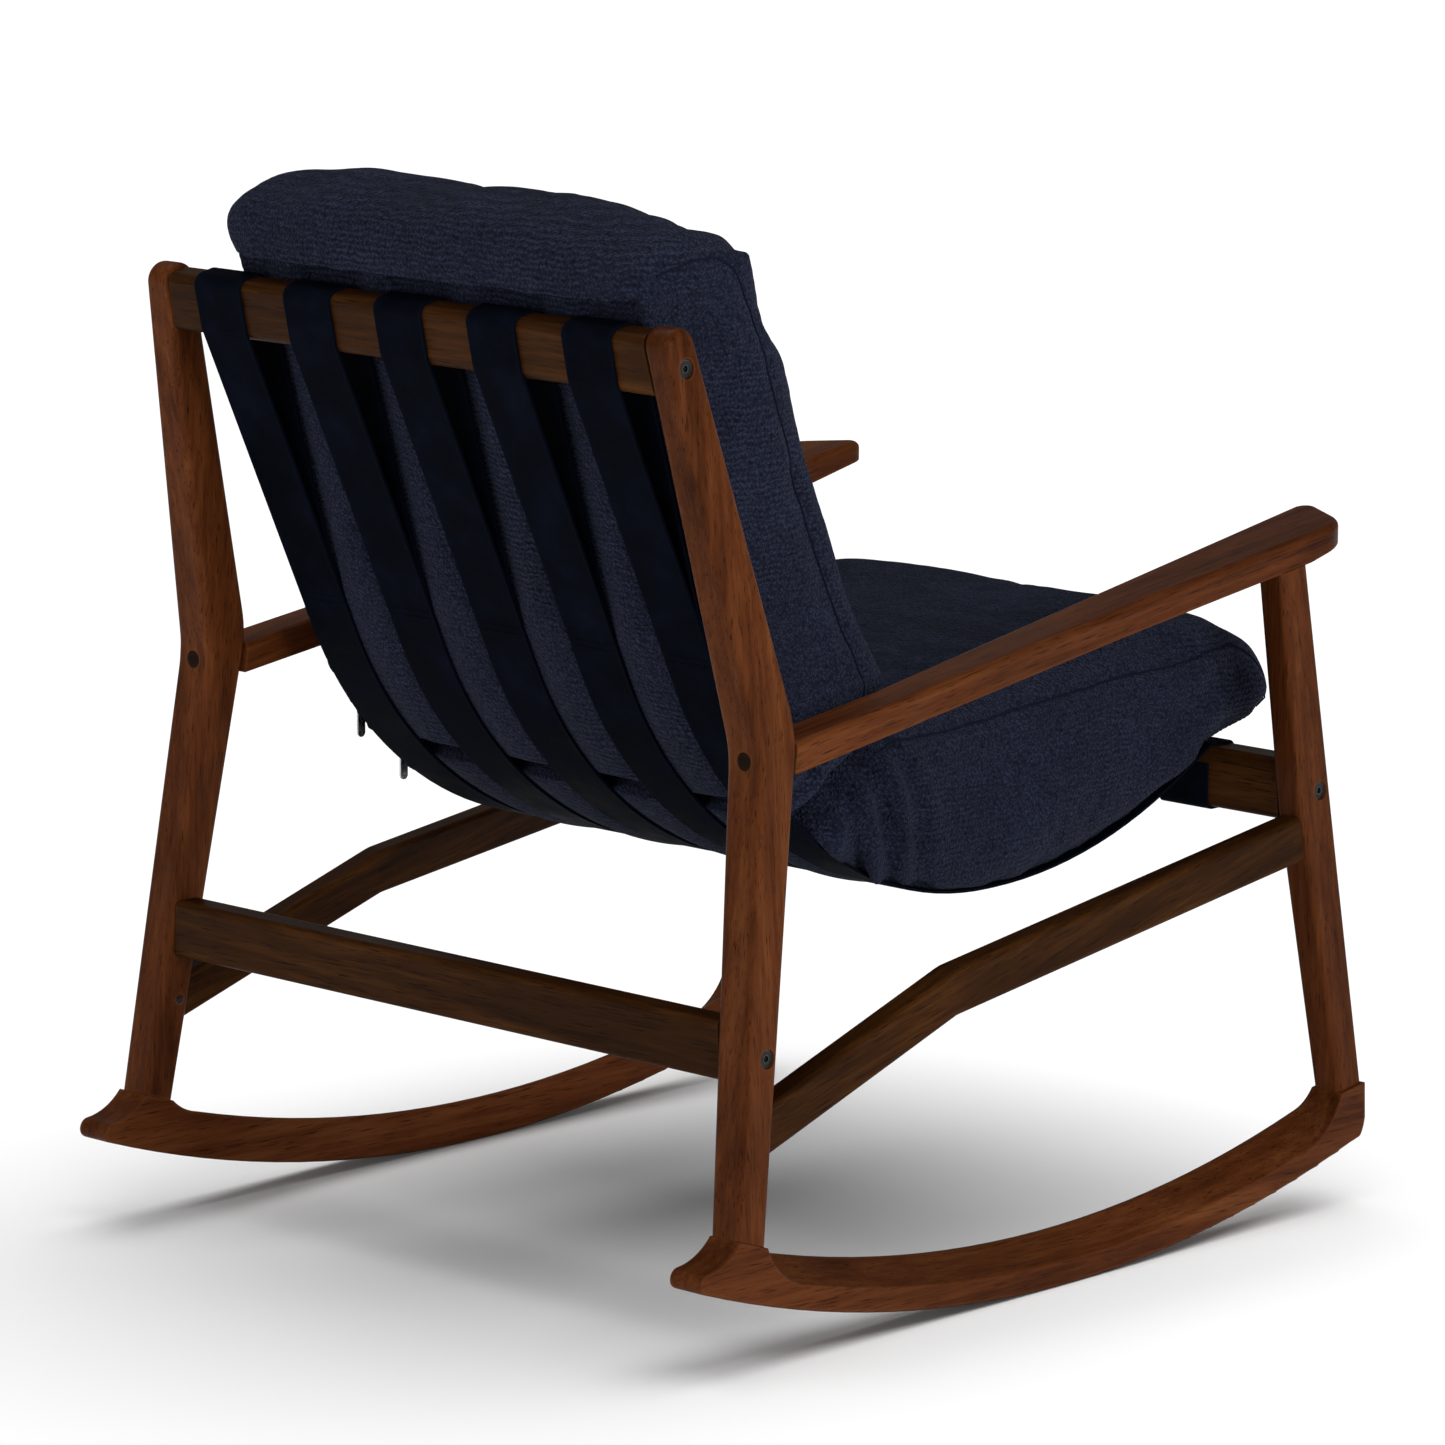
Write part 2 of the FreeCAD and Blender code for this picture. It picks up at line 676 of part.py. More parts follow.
def make_zip(line):
    """A zip on the left side panel: its tape with the closed chain, its slider, its pull."""
    (y_from, z_from), (y_to, z_to) = line
    start = Vector(0, y_from, z_from)
    run = Vector(0, y_to, z_to) - start
    turn = math.degrees(math.atan2(run.z, run.y))
    panel = CUSHION_HALF_WIDTH

    def laid(shape):
        shape.rotate(Vector(0, 0, 0), X_AXIS, turn)
        shape.translate(start)
        return shape

    tape = Part.makeBox(TAPE_THICKNESS, run.Length, TAPE_WIDTH, Vector(panel, 0, -TAPE_WIDTH / 2))
    chain_x = panel + TAPE_THICKNESS
    chain_start = 2 * SLIDER_LENGTH
    chain = Part.makeBox(CHAIN_THICKNESS, run.Length - chain_start, CHAIN_WIDTH,
                         Vector(chain_x, chain_start, -CHAIN_WIDTH / 2))
    slider_x = chain_x + ZIP_GAP
    body = Part.makeBox(SLIDER_THICKNESS, SLIDER_LENGTH, SLIDER_WIDTH,
                        Vector(slider_x, 0, -SLIDER_WIDTH / 2))
    channel_width = CHAIN_WIDTH + 2 * ZIP_GAP
    channel = Part.makeBox(CHAIN_THICKNESS, SLIDER_LENGTH, channel_width,
                           Vector(slider_x, 0, -channel_width / 2))
    stud = Vector(slider_x, SLIDER_LENGTH / 2, 0)
    neck_length = SLIDER_THICKNESS + PULL_THICKNESS + 2 * ZIP_GAP
    neck = rod(stud, X_AXIS, STUD_RADIUS, neck_length)
    cap = rod(stud + X_AXIS * neck_length, X_AXIS, STUD_CAP_RADIUS, STUD_CAP_THICKNESS)
    slider = laid(body.fuse(neck).fuse(cap).cut(channel).removeSplitter())
    tape = laid(tape.fuse(chain))

    pivot = laid(Part.Vertex(stud)).Point
    plate_x = slider_x + SLIDER_THICKNESS + ZIP_GAP
    half = PULL_WIDTH / 2
    corners = [(-half, half, half - 0.1), (half, half, half - 0.1),
               (half, -PULL_LENGTH, half - 0.1), (-half, -PULL_LENGTH, half - 0.1)]
    plate = side_prism(corners, plate_x, plate_x + PULL_THICKNESS)
    hole = rod(Vector(slider_x, 0, 0), X_AXIS, STUD_RADIUS + STUD_CLEARANCE, neck_length)
    pull = plate.cut(hole)
    pull.translate(Vector(0, pivot.y, pivot.z))
    return tape, slider, pull


# ---------------------------------------------------------------- dowels and screws
def make_foot_dowels(foot, x):
    """Two dowels side by side from a post into the rocker's pad."""
    front, rear = Vector(x, *foot[0]), Vector(x, *foot[1])
    middle = (front + rear) / 2
    across = (rear - front).normalize()
    axis = X_AXIS.cross(across)
    dowels = []
    for side in (-1, 1):
        centre = middle + across * (side * FOOT_DOWEL_SPACING / 2)
        dowels.append(rod(centre - axis * (DOWEL_LENGTH / 2), axis, FOOT_DOWEL_RADIUS, DOWEL_LENGTH))
    return Part.makeCompound(dowels)


def make_arm_dowel():
    top = sum(FRONT_POST_TOP_Y) / 2
    z = arm_bottom_z(top)
    x = (along(FRONT_INNER, z) + along(FRONT_OUTER, z)) / 2
    start = Vector(x, top, z - DOWEL_LENGTH / 2)
    return rod(start, Vector(0, 0, 1), DOWEL_RADIUS, DOWEL_LENGTH)


def make_stretcher_dowel():
    z = STRETCHER_FRONT_Z + STRAP_THICKNESS
    middle = Vector(stretcher_x(z), STRETCHER_FRONT_Y, z)
    axis = Vector(0, -1, -stretcher_slope(STRETCHER_FRONT_Y, STRETCHER_FRONT_Z)).normalize()
    return rod(middle - axis * (DOWEL_LENGTH / 2), axis, DOWEL_RADIUS, DOWEL_LENGTH)


def make_arm_screw():
    """The screw through the rear post into the arm's end, and the plug that covers it."""
    z = arm_top_z(ARM_REAR_Y) - ARM_THICKNESS / 2
    x = (along(REAR_INNER, z) + along(REAR_OUTER[:2], z)) / 2
    face = Vector(x, ARM_SCREW_FACE_Y, z)
    forwards = Vector(0, -1, 0)
    plug = rod(face, forwards, PLUG_RADIUS, PLUG_LENGTH)
    seat = face + forwards * PLUG_LENGTH
    head = rod(seat, forwards, ARM_SCREW_HEAD_RADIUS, ARM_SCREW_HEAD_HEIGHT)
    shank = rod(seat, forwards, ARM_SCREW_RADIUS, ARM_SCREW_LENGTH)
    hole = rod(face - forwards * PLUG_LENGTH, forwards, PLUG_RADIUS, 2 * PLUG_LENGTH)
    return head.fuse(shank).removeSplitter(), plug, hole


def make_lock_screw():
    """The small screw through the rear post's inner face into the tenon."""
    y = STRETCHER_REAR_Y + TENON_LENGTH / 2
    z = STRETCHER_REAR_Z
    top = Vector(along(REAR_INNER, z), y, z)
    head = rod(top, X_AXIS, LOCK_SCREW_HEAD_RADIUS, LOCK_SCREW_HEAD_HEIGHT)
    shank = rod(top, X_AXIS, LOCK_SCREW_RADIUS, LOCK_SCREW_LENGTH)
    return head.fuse(shank).removeSplitter()


def save(name, shape):
    shape.exportStep(os.path.join("parts", name + ".step"))


def main():
    os.makedirs("parts", exist_ok=True)
    nodes = {}
    down = Vector(0, 0, -1)
    rocker = make_rocker()
    rear_post = make_rear_post()
    front_post = make_front_post()
    armrest = make_armrest()
    stretcher, tenon = make_side_stretcher()
    top_rail = make_rail(TOP_RAIL, REAR_INNER)
    rear_stretcher = make_rail(REAR_STRETCHER, REAR_INNER)
    front_rail = make_rail(FRONT_RAIL, FRONT_INNER)

    rear_post, top_rail, bolt, nut = bolted_joint(
        rear_post, top_rail, *TOP_BOLT, REAR_OUTER[1:], down)
    nodes["top_rail_bolts"] = both(bolt)
    nodes["top_rail_barrel_nuts"] = both(nut)
    rear_post, rear_stretcher, bolt, nut = bolted_joint(
        rear_post, rear_stretcher, *REAR_BOLT, REAR_OUTER[:2], down)
    nodes["rear_stretcher_bolts"] = both(bolt)
    nodes["rear_stretcher_barrel_nuts"] = both(nut)
    front_post, front_rail, bolt, nut = bolted_joint(
        front_post, front_rail, *FRONT_BOLT, FRONT_OUTER, down)
    nodes["front_rail_bolts"] = both(bolt)
    nodes["front_rail_barrel_nuts"] = both(nut)

    rear_dowels = make_foot_dowels(REAR_FOOT, (along(REAR_INNER, 99.0) + along(REAR_OUTER, 99.0)) / 2)
    front_dowels = make_foot_dowels(FRONT_FOOT, (along(FRONT_INNER, 97.0) + along(FRONT_OUTER, 97.0)) / 2)
    arm_dowel = make_arm_dowel()
    stretcher_dowel = make_stretcher_dowel()
    screw, plug, plug_hole = make_arm_screw()
    lock_screw = make_lock_screw()
    rocker = rocker.cut(rear_dowels).cut(front_dowels)
    plug = plug.common(rear_post)
    for cutter in (rear_dowels, tenon, plug_hole, screw, lock_screw):
        rear_post = rear_post.cut(cutter)
    for cutter in (front_dowels, arm_dowel, stretcher_dowel):
        front_post = front_post.cut(cutter)
    armrest = armrest.cut(arm_dowel).cut(screw)
    stretcher = stretcher.cut(stretcher_dowel).cut(lock_screw)

    pairs = {
        "rocker": rocker,
        "rear_post": rear_post,
        "front_post": front_post,
        "armrest": armrest,
        "side_stretcher": stretcher,
    }
    for name, solid in pairs.items():
        nodes[name + "_left"] = solid
        nodes[name + "_right"] = mirrored(solid)
    nodes["top_rail"] = top_rail
    nodes["rear_stretcher"] = rear_stretcher
    nodes["front_seat_rail"] = front_rail
    nodes["rear_post_dowels"] = both(rear_dowels)
    nodes["front_post_dowels"] = both(front_dowels)
    nodes["armrest_dowels"] = both(arm_dowel)
    nodes["side_stretcher_dowels"] = both(stretcher_dowel)
    nodes["armrest_screws"] = both(screw)
    nodes["armrest_screw_plugs"] = both(plug)
    nodes["tenon_screws"] = both(lock_screw)

    for i in range(STRAP_COUNT):
        x_middle = (i - (STRAP_COUNT - 1) / 2) * STRAP_PITCH
        nodes["strap_%d" % (i + 1)] = make_strap(x_middle)

    nodes["seat_cushion_cover"], nodes["seat_cushion_foam"] = make_cushion(
        seat_outline(), CUSHION_EDGE)
    nodes["back_cushion_cover"], nodes["back_cushion_foam"] = make_cushion(
        back_outline(), CUSHION_EDGE)
    for name, line in (("seat", SEAT_ZIP), ("back", BACK_ZIP)):
        tape, slider, pull = make_zip(line)
        nodes[name + "_zip_tape"] = tape
        nodes[name + "_zip_slider"] = slider
        nodes[name + "_zip_pull"] = pull

    for name, shape in nodes.items():
        save(name, shape)


main()
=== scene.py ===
import json
import math

import bmesh
import bpy
import numpy as np
from mathutils import Matrix, Vector, noise
from mathutils.bvhtree import BVHTree

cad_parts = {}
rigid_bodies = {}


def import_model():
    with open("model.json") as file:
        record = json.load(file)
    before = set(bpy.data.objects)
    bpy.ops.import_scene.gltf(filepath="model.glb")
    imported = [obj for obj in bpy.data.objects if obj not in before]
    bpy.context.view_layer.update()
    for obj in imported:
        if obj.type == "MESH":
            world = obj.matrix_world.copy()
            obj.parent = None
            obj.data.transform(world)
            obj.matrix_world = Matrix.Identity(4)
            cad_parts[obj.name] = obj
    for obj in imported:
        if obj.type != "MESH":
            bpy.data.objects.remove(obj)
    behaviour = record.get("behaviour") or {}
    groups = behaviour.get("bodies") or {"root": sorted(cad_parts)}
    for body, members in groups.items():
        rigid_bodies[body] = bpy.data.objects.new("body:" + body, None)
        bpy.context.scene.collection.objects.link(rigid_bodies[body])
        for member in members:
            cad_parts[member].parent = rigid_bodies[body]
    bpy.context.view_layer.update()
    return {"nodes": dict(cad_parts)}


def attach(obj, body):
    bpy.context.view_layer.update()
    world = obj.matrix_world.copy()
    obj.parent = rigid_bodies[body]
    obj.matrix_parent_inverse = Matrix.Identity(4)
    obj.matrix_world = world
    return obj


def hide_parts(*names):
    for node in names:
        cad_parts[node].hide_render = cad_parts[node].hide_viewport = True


# A low rocking chair in a pale studio. The CAD frame gets its real materials, and the two plain
# cushion solids are replaced by stuffed cushions that lie in the sling of straps.
# Metres, +Z up. The chair faces -Y and the sitter's left hand is on +X.

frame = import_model()
NODES = frame["nodes"]
MM = 0.001

# ------------------------------------------------------------------ shape of the sling
# Seen from the side, in metres: the upper faces of the straps, as in the CAD model.
BACK_CENTRE = np.array((-0.0415, 0.627))
BACK_RADIUS = 0.3318
SEAT_CENTRE = np.array((-0.050, 0.780))
SEAT_RADIUS = 0.4848
DOWN = np.array((-math.sin(math.radians(24.9)), -math.cos(math.radians(24.9))))
BACK_NORMAL = np.array((DOWN[1], -DOWN[0]))
FRONT_RUN = np.array((math.cos(math.radians(152.05)), math.sin(math.radians(152.05))))
FRONT_NORMAL = np.array((FRONT_RUN[1], -FRONT_RUN[0]))
LEG_FOOT = np.array((0.2855, 0.549))
LEG_TOP = np.array((0.3560, 0.783))
STRAP_PITCH = 0.1005
STRAP_X = [(i - 2) * STRAP_PITCH for i in range(5)]
STRAP_HALF = 0.0254
STRAP_EDGE = STRAP_X[-1] + STRAP_HALF
STRAP_THICKNESS = 0.0022

# a cushion's outline stands this far off the straps, and follows their rise to the front rail
OUTLINE_LIFT = 0.001
RISE_START_Y, RISE_START_Z, RISE_SLOPE = -0.277, 0.3538, 0.53

# ------------------------------------------------------------------ shape of the cushions
# Outlines seen from the side are (y, z) in millimetres. IN_SLING is the stretch of y that lies on
# the straps, between the two lists of points.
HALF_WIDTH = 0.240
SEAT_SHAPE = [(108, 435), (135, 414), (160, 394), (177, 381)]
SEAT_IN_SLING = (172, -300)
SEAT_FRONT = [(-330, 375), (-366, 377), (-390, 392), (-396, 418), (-386, 443), (-358, 458),
              (-312, 462), (-200, 455), (-100, 446), (0, 439), (80, 435)]
SEAT_SEAM = [(98, 437), (0, 441), (-150, 450), (-304, 461), (-356, 453), (-382, 422), (-364, 392)]
SEAT_SIDE_ROUND = 0.034
BACK_SHAPE = [(96, 441), (88, 462), (104, 500), (127, 540), (146, 580), (174, 646), (197, 710),
              (230, 788), (243, 819), (250, 836), (266, 848), (290, 853), (315, 855), (340, 852),
              (360, 845), (370, 838), (368, 820), (353, 781), (320, 669), (289, 562), (265, 502)]
BACK_IN_SLING = (257, 190)
BACK_FRONT = [(160, 398), (130, 419)]
BACK_SEAM = [(120, 455), (150, 530), (200, 640), (248, 760), (262, 800), (272, 816), (300, 822),
             (345, 815)]
BACK_SIDE_ROUND = 0.016

# folds in the cloth: centre, spread, wavelength, direction across the folds, depth
BACK_FOLDS = [
    ((-0.235, 0.16, 0.42), (0.05, 0.05, 0.06), 0.032, (0.2, 0.8, 0.6), 0.0060),
    ((0.225, 0.17, 0.42), (0.06, 0.07, 0.09), 0.034, (-0.3, 0.3, 0.9), 0.0040),
    ((0.05, 0.33, 0.84), (0.22, 0.05, 0.04), 0.110, (0.9, 0.3, 0.2), 0.0022),
    ((-0.20, 0.28, 0.80), (0.06, 0.06, 0.08), 0.035, (0.8, 0.0, 0.5), 0.0026),
]
SEAT_FOLDS = [
    ((-0.235, 0.10, 0.37), (0.05, 0.05, 0.06), 0.030, (0.2, 0.9, -0.3), 0.0055),
    ((0.225, 0.09, 0.39), (0.06, 0.08, 0.07), 0.032, (-0.3, 0.9, 0.2), 0.0040),
    ((-0.22, -0.30, 0.42), (0.06, 0.06, 0.06), 0.040, (0.5, 0.2, 0.8), 0.0030),
]
# soft hollows in the stuffing: depth, fineness, shift of the pattern
HOLLOWS = [(0.0050, 6, 0), (0.0020, 15, 3), (0.0005, 45, 5)]
# pointed corners: centre, and how far the point is drawn out
BACK_EARS = [((-0.246, 0.262, 0.812), (-0.003, -0.005, 0.012)),
             ((0.240, 0.268, 0.838), (0.0, -0.004, 0.008))]
SEAT_EARS = [((-0.244, -0.366, 0.444), (-0.003, -0.006, 0.003)),
             ((0.240, -0.366, 0.444), (0.0, -0.006, 0.003))]
EAR_RADIUS = 0.012

# crowns: the back's top corners drop and its far side tapers, the seat's sides and nose fall away
BACK_TOP_Z, BACK_TOP_RUN = 0.74, 0.10
BACK_DROP_RIGHT, BACK_DROP_LEFT = 0.024, 0.006
TAPER_Z, TAPER_RUN, TAPER = 0.50, 0.34, 0.125
SEAT_TOP_Z, SEAT_TOP_RUN, SEAT_REAR_Y, SEAT_REAR_RUN, SEAT_DROP = 0.40, 0.05, 0.10, 0.10, 0.016
NOSE_Y, NOSE_RUN, NOSE_PULL = -0.26, 0.08, 0.005

# stuffing: how much of the simulated swelling is kept, and how much is added to it
SWELL_CAP = 0.011
SWELL_SHARE = 0.7
PLUMPNESS = 0.009

# how a cushion lies on the straps, swells between them and spills past their outer edges
REST_GAP = 0.0007
SWELL_BETWEEN = 0.0045
SPILL_RUN, SPILL_LEFT, SPILL_RIGHT, SPILL_RIGHT_REAR = 0.012, 0.012, 0.008, 0.020
SPILL_REAR_Y, SPILL_REAR_RUN = -0.14, 0.20
SAG_Y = (-0.298, -0.280, -0.220, -0.120, -0.015, 0.030, 0.120, 0.180)
SAG_DEPTH = (0.0, 0.020, 0.012, 0.003, 0.008, 0.016, 0.014, 0.0)
SAG_RUN, SAG_FADE = 0.010, 0.030
NEAR_RAIL_Y = -0.27
RAIL_REAR_Y, RAIL_CLEAR_Z = -0.295, 0.3745
LEG_GAP, LEG_SWELL, LEG_SPILL, LEG_FADE, LEG_REACH = 0.0034, 0.007, 0.006, 0.05, 0.262

# the crease between the cushions: its front and its rear end, seen from the side
CREASE = np.array((0.1015, 0.4330))
CREASE_REAR = np.array((0.1810, 0.3720))
CREASE_GAP = 0.0006
CREASE_FROM, CREASE_TO = -0.03, 0.16
PINCH, PINCH_RADIUS, PINCH_LEAD, PINCH_X, PINCH_RUN = 0.11, 0.016, 0.02, 0.19, 0.04
RIGHT_LIMIT, LEFT_LIMIT = -0.2505, 0.2396

# seams and zips
SEAM_DEPTH, SEAM_WIDTH, SEAM_RADIUS, SEAM_INSET = 0.0024, 0.0060, 0.0007, 0.004
SEAT_ZIP = ((148, 371), (-285, 409))
BACK_ZIP = ((188, 408), (300, 694))
TEETH_START, TEETH_FREE, TEETH_PITCH, TEETH_STAGGER = 0.023, 0.024, 0.0024, 0.0009
TOOTH_HALF_LENGTH, TOOTH_HALF_WIDTH = 0.00085, 0.00175
TOOTH_FOOT_X, TOOTH_TOP_X, TOOTH_TOP_SCALE = 0.2420, 0.24255, 0.7
STITCH_LENGTH, STITCH_SPACE, STITCH_RADIUS, STITCH_PROUD = 0.0030, 0.0012, 0.00045, 0.0001
LAP_SEAM_RISES, LAP_SEAM_HALF, LAP_SEAM_UP = (0.0, 0.006), 0.021, 0.026

# ------------------------------------------------------------------ studio
CAMERA_PLACE = (-3.901, 4.125, 1.482)
CAMERA_YAW, CAMERA_PITCH, CAMERA_ROLL = 43.57, 10.77, 0.22
CAMERA_LENS = 179.1
# softboxes: name, place, target, width, height, power
SOFTBOXES = (
    ("key", (0.6, 0.2, 3.2), (0, 0, 0.3), 2.4, 2.4, 30),
    ("rear_fill", (0.6, 4.8, 1.9), (0, 0, 0.45), 2.4, 1.6, 52),
    ("side_fill", (-4.4, 0.9, 1.5), (0, 0, 0.40), 2.0, 1.6, 118),
)
WORLD_LIGHT = 0.21
FLOOR_GLOW = 0.03
FLOOR_HALF = 40.0
OVERHEAD_POWER, OVERHEAD_ANGLE, OVERHEAD_TILT = 3.15, 76, (9, -4, 0)


# ------------------------------------------------------------------ node helpers
class Graph:
    """A small wrapper that builds a material's nodes."""

    def __init__(self, name, **shader):
        self.material = bpy.data.materials.new(name)
        self.material.use_nodes = True
        self.tree = self.material.node_tree
        self.shader = self.tree.nodes["Principled BSDF"]
        for socket, value in shader.items():
            self.shader.inputs[socket.replace("_", " ")].default_value = value
        self.place = self.add("ShaderNodeTexCoord").outputs["Object"]

    def add(self, kind, inputs=None, **settings):
        node = self.tree.nodes.new(kind)
        for key, value in settings.items():
            setattr(node, key, value)
        for key, value in (inputs or {}).items():
            if isinstance(value, bpy.types.NodeSocket):
                self.tree.links.new(value, node.inputs[key])
            else:
                node.inputs[key].default_value = value
        return node

    def mapped(self, scale, rotation=(0, 0, 0), vector=None):
        turned = self.add("ShaderNodeMapping", {0: vector or self.place, "Rotation": rotation})
        return self.add("ShaderNodeMapping", {0: turned.outputs[0], "Scale": scale}).outputs[0]

    def noise(self, vector, scale, detail=4.0, rough=0.55, distort=0.0):
        return self.add("ShaderNodeTexNoise", {
            "Vector": vector, "Scale": scale, "Detail": detail, "Roughness": rough,
            "Distortion": distort}).outputs["Fac"]

    def voronoi(self, vector, scale, output="Distance", feature="F1"):
        return self.add("ShaderNodeTexVoronoi", {"Vector": vector, "Scale": scale},
                        feature=feature).outputs[output]

    def ramp(self, factor, stops):
        node = self.add("ShaderNodeValToRGB", {"Fac": factor})
        elements = node.color_ramp.elements
        while len(elements) < len(stops):
            elements.new(0.5)
        for element, (position, colour) in zip(elements, stops):
            element.position = position
            element.color = colour if len(colour) == 4 else (*colour, 1)
        return node.outputs["Color"]

    def grey(self, factor, low, high, from_low=0.0, from_high=1.0):
        return self.add("ShaderNodeMapRange", {
            "Value": factor, "From Min": from_low, "From Max": from_high,
            "To Min": low, "To Max": high}).outputs[0]

    def math(self, operation, a, b=0.0):
        return self.add("ShaderNodeMath", {0: a, 1: b}, operation=operation).outputs[0]

    def mix(self, factor, a, b, blend="MIX"):
        node = self.add("ShaderNodeMix", data_type="RGBA", blend_type=blend)
        for index, value in ((0, factor), (6, a), (7, b)):
            if isinstance(value, bpy.types.NodeSocket):
                self.tree.links.new(value, node.inputs[index])
            else:
                node.inputs[index].default_value = value
        return node.outputs[2]

    def bump(self, height, strength, distance, normal=None):
        inputs = {"Height": height, "Strength": strength, "Distance": distance}
        if normal is not None:
            inputs["Normal"] = normal
        return self.add("ShaderNodeBump", inputs).outputs[0]

    def set(self, socket, value):
        self.tree.links.new(value, self.shader.inputs[socket])

    def convexity(self, distance):
        """White on a convex edge. The wood lightens its colour there as a painted highlight; the
        steel shows worn finish there.
        """
        bevel = self.add("ShaderNodeBevel", {"Radius": distance}, samples=4).outputs[0]
        plain = self.add("ShaderNodeNewGeometry").outputs["Normal"]
        dot = self.add("ShaderNodeVectorMath", {0: bevel, 1: plain}, operation="DOT_PRODUCT")
        return self.grey(dot.outputs["Value"], 1.0, 0.0, 0.86, 0.995)


# ------------------------------------------------------------------ materials
def wood(name, along, dark, mid, light, seed):
    """Stained open-grained hardwood whose grain runs along a direction."""
    g = Graph(name, Roughness=0.42, Coat_Weight=0.01, Coat_Roughness=0.10, Specular_IOR_Level=0.03)
    turn = Vector(along).normalized().rotation_difference(Vector((1, 0, 0))).to_euler()
    shifted = g.add("ShaderNodeVectorMath", {0: g.place, 1: (seed, seed * 0.7, seed * 1.3)})
    fibres = g.mapped((5.0, 90.0, 90.0), turn, shifted.outputs[0])
    figure = g.mapped((1.6, 22.0, 22.0), turn, shifted.outputs[0])
    pores = g.mapped((38.0, 900.0, 900.0), turn, shifted.outputs[0])
    rings = g.noise(figure, 1.0, 3.0, 0.5, 1.2)
    fine = g.noise(fibres, 2.2, 6.0, 0.62, 0.3)
    blotch = g.noise(g.mapped((1, 1, 1), turn, shifted.outputs[0]), 7.0, 2.0)
    pore = g.noise(pores, 1.0, 2.0, 0.5)
    tone = g.math("ADD", g.math("MULTIPLY", rings, 0.55), g.math("MULTIPLY", fine, 0.45))
    colour = g.ramp(tone, [(0.30, dark), (0.50, mid), (0.70, light)])
    mottle = g.grey(blotch, 0.78, 1.16, 0.3, 0.7)
    colour = g.mix(1.0, colour, g.add("ShaderNodeCombineColor", {
        0: mottle, 1: mottle, 2: mottle}).outputs[0], "MULTIPLY")
    in_pore = g.grey(pore, 1.0, 0.0, 0.30, 0.42)
    colour = g.mix(g.math("MULTIPLY", in_pore, 0.75), colour, (*[c * 0.35 for c in dark], 1))
    # painted highlight: the wood's colour is lightened along its convex edges, where light catches
    # the rounded arrises
    edge = g.math("MULTIPLY", g.convexity(0.004), 0.35)
    colour = g.mix(edge, colour, (*[min(c * 1.25, 1) for c in light], 1))
    g.set("Base Color", colour)
    g.set("Roughness", g.grey(g.math("ADD", g.math("MULTIPLY", fine, 0.5), blotch),
                              0.26, 0.50, 0.45, 1.05))
    soft = g.add("ShaderNodeBevel", {"Radius": 0.003}, samples=6).outputs[0]
    grain = g.math("SUBTRACT", g.math("MULTIPLY", fine, 0.5), in_pore)
    g.set("Normal", g.bump(grain, 0.28, 0.0004, soft))
    return g.material


def terry():
    """Thick looped navy upholstery cloth, its loops in loose rows."""
    g = Graph("navy_terry_cloth", Roughness=0.95, Sheen_Weight=0.05, Sheen_Roughness=0.45,
              Specular_IOR_Level=0.06)
    g.shader.inputs["Sheen Tint"].default_value = (0.50, 0.58, 0.85, 1)
    wander = g.noise(g.place, 45.0, 2.0)
    push = g.math("MULTIPLY", g.math("SUBTRACT", wander, 0.5), 0.009)
    offset = g.add("ShaderNodeCombineXYZ", {0: push, 1: push, 2: push}).outputs[0]
    place = g.add("ShaderNodeVectorMath", {0: g.place, 1: offset}).outputs[0]
    rise = g.add("ShaderNodeSeparateXYZ", {0: place}).outputs[2]
    rows = g.math("SINE", g.math("MULTIPLY", rise, 1350.0))
    loops = g.voronoi(g.mapped((380, 380, 420), vector=place), 1.0)
    clumps = g.noise(g.mapped((110, 110, 200), vector=place), 1.0, 3.0, 0.6)
    tufts = g.noise(place, 900.0, 2.0, 0.6)
    worn = g.noise(g.place, 9.0, 3.0, 0.6)
    patch = g.noise(g.place, 5.0, 2.0)
    combed = g.math("MULTIPLY", rows, g.grey(patch, 0.03, 0.16, 0.40, 0.62))
    height = g.math("ADD", g.math("MULTIPLY", g.math("SUBTRACT", 1.0, loops), 0.75), g.math(
        "ADD", combed, g.math("ADD", g.math("MULTIPLY", clumps, 0.5),
                              g.math("MULTIPLY", tufts, 0.2))))
    shade = g.math("ADD", g.math("MULTIPLY", height, 0.8), g.math("MULTIPLY", worn, 0.35))
    g.set("Base Color", g.ramp(shade, [
        (0.40, (0.0026, 0.0032, 0.0070)), (0.82, (0.0114, 0.0138, 0.0285)),
        (1.00, (0.0230, 0.0275, 0.0530))]))
    g.set("Roughness", g.grey(worn, 0.86, 1.0, 0.3, 0.7))
    g.set("Normal", g.bump(height, 1.0, 0.0030))
    return g.material


